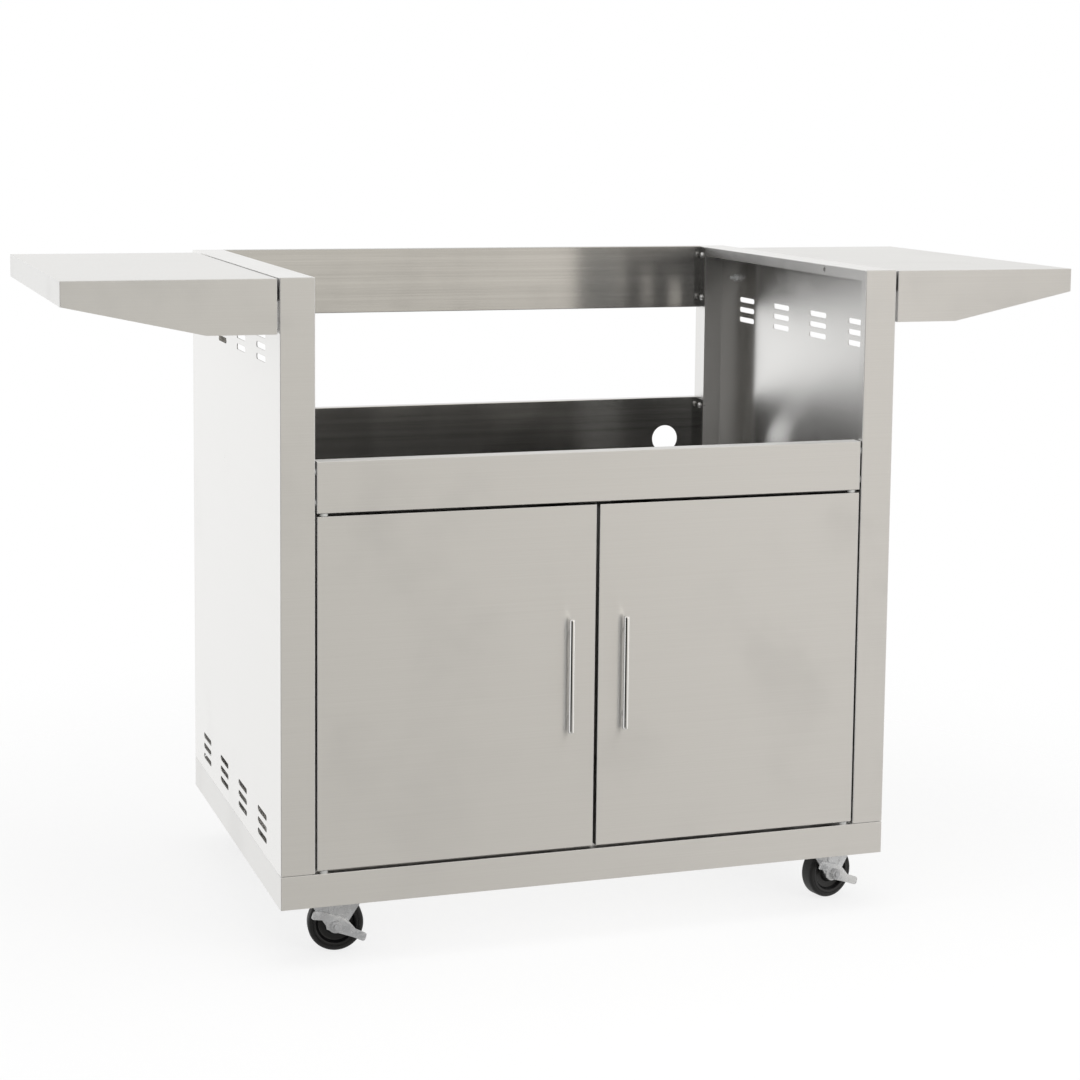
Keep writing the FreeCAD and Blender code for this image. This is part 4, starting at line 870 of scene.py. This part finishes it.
floor_radius = 1.7
floor_sink = 0.0004
floor_grey = (0.27, 0.27, 0.27, 1)
floor_glow = 0.78
fade_starts = 0.75
fade_ends = 1.6
floor_work = bmesh.new()
bmesh.ops.create_circle(floor_work, cap_ends=True, cap_tris=True, segments=96, radius=floor_radius)
floor_mesh = bpy.data.meshes.new("studio_floor")
floor_work.to_mesh(floor_mesh)
floor_work.free()
floor = bpy.data.objects.new("studio_floor", floor_mesh)
floor.location = (0, 0, -floor_sink)
floor.visible_glossy = False
bpy.context.scene.collection.objects.link(floor)
pale = bpy.data.materials.new("pale_floor")
pale.use_nodes = True
pale_tree = pale.node_tree
pale_tree.nodes.clear()
pale_path = node(pale_tree, "ShaderNodeLightPath")
pale_spot = node(pale_tree, "ShaderNodeTexCoord")
pale_matt = node(pale_tree, "ShaderNodeBsdfDiffuse", {"Color": floor_grey})
pale_seen = figure(pale_tree, "ADD", pale_path.outputs["Is Camera Ray"],
                   pale_path.outputs["Is Transmission Ray"])
pale_lift = figure(pale_tree, "MULTIPLY", pale_seen, floor_glow)
pale_glow = node(pale_tree, "ShaderNodeEmission", {"Color": (1, 1, 1, 1), "Strength": pale_lift})
pale_lit = node(pale_tree, "ShaderNodeAddShader", {0: pale_matt.outputs[0], 1: pale_glow.outputs[0]})
pale_clear = node(pale_tree, "ShaderNodeBsdfTransparent")
pale_reach = node(pale_tree, "ShaderNodeVectorMath", {0: pale_spot.outputs["Object"]}, operation="LENGTH")
pale_fade = node(pale_tree, "ShaderNodeMapRange",
                 {"Value": pale_reach.outputs["Value"], "From Min": fade_starts, "From Max": fade_ends},
                 interpolation_type="SMOOTHSTEP")
pale_mix = node(pale_tree, "ShaderNodeMixShader",
                {0: pale_fade.outputs[0], 1: pale_lit.outputs[0], 2: pale_clear.outputs[0]})
node(pale_tree, "ShaderNodeOutputMaterial", {"Surface": pale_mix.outputs[0]})
floor_mesh.materials.append(pale)


# Studio light
# White walls stand behind and beside the cart; in front the room is dim to the left and bright to the right.
# The metal mirrors them, paler near the ground; plain surfaces get an even light and two soft lamps.

studio = bpy.data.worlds.new("studio")
bpy.context.scene.world = studio
studio.use_nodes = True
studio.cycles.sampling_method = "NONE"
sky = studio.node_tree
sky.nodes.clear()
sky_way = node(sky, "ShaderNodeTexCoord")
sky_parts = node(sky, "ShaderNodeSeparateXYZ", {0: sky_way.outputs["Generated"]})
sky_front = figure(sky, "MULTIPLY", sky_parts.outputs["Y"], -1.0)
sky_round = figure(sky, "ARCTAN2", sky_parts.outputs["X"], sky_front)
sky_share = scaled_sum(sky, sky_round, 1 / (2 * math.pi), 0.5)
white_wall = (1.0, 1.0, 0.995)
right_wall = (1.0, 0.99, 0.97)
dark_room = (0.03, 0.03, 0.03)
pale_room = (0.46, 0.455, 0.445)
warm_front = (0.955, 0.91, 0.84)
dim_front = (0.30, 0.293, 0.28)
ceiling = (0.89, 0.89, 0.88, 1)
above_cart = (0.55, 0.54, 0.525, 1)
even_light = (0.55, 0.55, 0.55, 1)
backdrop = (1, 1, 1, 1)


def walls_around(left_front, right_front):
    """The tone of the room in each direction around the cart, in degrees from straight ahead of its doors."""
    tones = [(-180, white_wall), (-66, white_wall), (-62, left_front), (-1, left_front)]
    tones += right_front
    tones += [(54, right_wall), (180, white_wall)]
    walls = node(sky, "ShaderNodeValToRGB", {"Fac": sky_share})
    ramp = walls.color_ramp
    while len(ramp.elements) < len(tones):
        ramp.elements.new(0.5)
    for element, (angle, tone) in zip(ramp.elements, tones):
        element.position = angle / 360 + 0.5
        element.color = tone + (1,)
    return walls.outputs["Color"]


def rising(starts, full):
    """How far a direction has risen between two heights, where looking level is nought."""
    share = node(sky, "ShaderNodeMapRange",
                 {"Value": sky_parts.outputs["Z"], "From Min": starts, "From Max": full},
                 interpolation_type="SMOOTHSTEP")
    return share.outputs[0]


sky_upper = walls_around(dark_room, [(4, (0.99, 0.96, 0.89)), (12, (1.05, 1.015, 0.935)),
                                     (16, (1.03, 0.99, 0.91)), (20, (1.10, 1.05, 0.97)),
                                     (24, (1.20, 1.155, 1.07)), (27.5, (1.36, 1.305, 1.235)),
                                     (31, warm_front), (40, warm_front)])
sky_lower = walls_around(dark_room, [(4, dim_front), (40, dim_front)])
sky_ground = walls_around(pale_room, [(4, dim_front), (40, dim_front)])
sky_foot = blend(sky, rising(starts=-0.30, full=-0.235), sky_ground, sky_lower)
sky_walls = blend(sky, rising(starts=-0.30, full=-0.15), sky_foot, sky_upper)
sky_lit = blend(sky, rising(starts=-0.02, full=0.08), sky_walls, above_cart, "LIGHTEN")
sky_room = blend(sky, rising(starts=0.55, full=0.9), sky_lit, ceiling)
sky_path = node(sky, "ShaderNodeLightPath")
sky_mirror = figure(sky, "MAXIMUM", sky_path.outputs["Is Glossy Ray"],
                    sky_path.outputs["Is Transmission Ray"])
sky_seen = blend(sky, sky_mirror, even_light, sky_room)
sky_all = blend(sky, sky_path.outputs["Is Camera Ray"], sky_seen, backdrop)
sky_light = node(sky, "ShaderNodeBackground", {"Color": sky_all, "Strength": 1.0})
node(sky, "ShaderNodeOutputWorld", {"Surface": sky_light.outputs[0]})


def soft_lamp(name, place, aim, width, height, power):
    """A soft rectangular lamp, not mirrored by the metal."""
    lamp = bpy.data.lights.new(name, "AREA")
    lamp.shape = "RECTANGLE"
    lamp.size = width
    lamp.size_y = height
    lamp.energy = power
    holder = bpy.data.objects.new(name, lamp)
    holder.location = place
    holder.rotation_euler = (Vector(aim) - Vector(place)).to_track_quat("-Z", "Y").to_euler()
    holder.visible_glossy = False
    bpy.context.scene.collection.objects.link(holder)


soft_lamp("overhead_softbox", place=(-0.3, -0.4, 3.0), aim=(0, 0, 0.5), width=2.6, height=2.2, power=24.0)
soft_lamp("front_softbox", place=(1.6, -3.0, 1.8), aim=(0, 0, 0.45), width=2.0, height=1.6, power=22.0)


# Camera
# Stands left of the cart's middle at about chest height, where the photograph was taken.
# Its frame is shifted down, as the photograph is framed.

frame_pixels = 1080
focal_pixels = 2367.7
centre_above_middle = 160
sensor_width = 36
yaw = math.radians(18.633)
pitch = math.radians(6.429)
roll = math.radians(-0.600)
eye_place = (-1.0740, -3.2334, 1.1199)
ahead = Vector((math.sin(yaw) * math.cos(pitch), math.cos(yaw) * math.cos(pitch), -math.sin(pitch)))
level = Vector((math.cos(yaw), -math.sin(yaw), 0))
below = ahead.cross(level)
across = level * math.cos(roll) + below * math.sin(roll)
down = below * math.cos(roll) - level * math.sin(roll)
lens = bpy.data.cameras.new("photo_camera")
lens.sensor_width = sensor_width
lens.lens = sensor_width * focal_pixels / frame_pixels
lens.shift_y = -centre_above_middle / frame_pixels
lens.clip_end = 50
eye = bpy.data.objects.new("photo_camera", lens)
eye.matrix_world = Matrix((across, -down, -ahead)).transposed().to_4x4()
eye.location = eye_place
bpy.context.scene.collection.objects.link(eye)
bpy.context.scene.camera = eye
bpy.context.scene.view_settings.view_transform = "Standard"
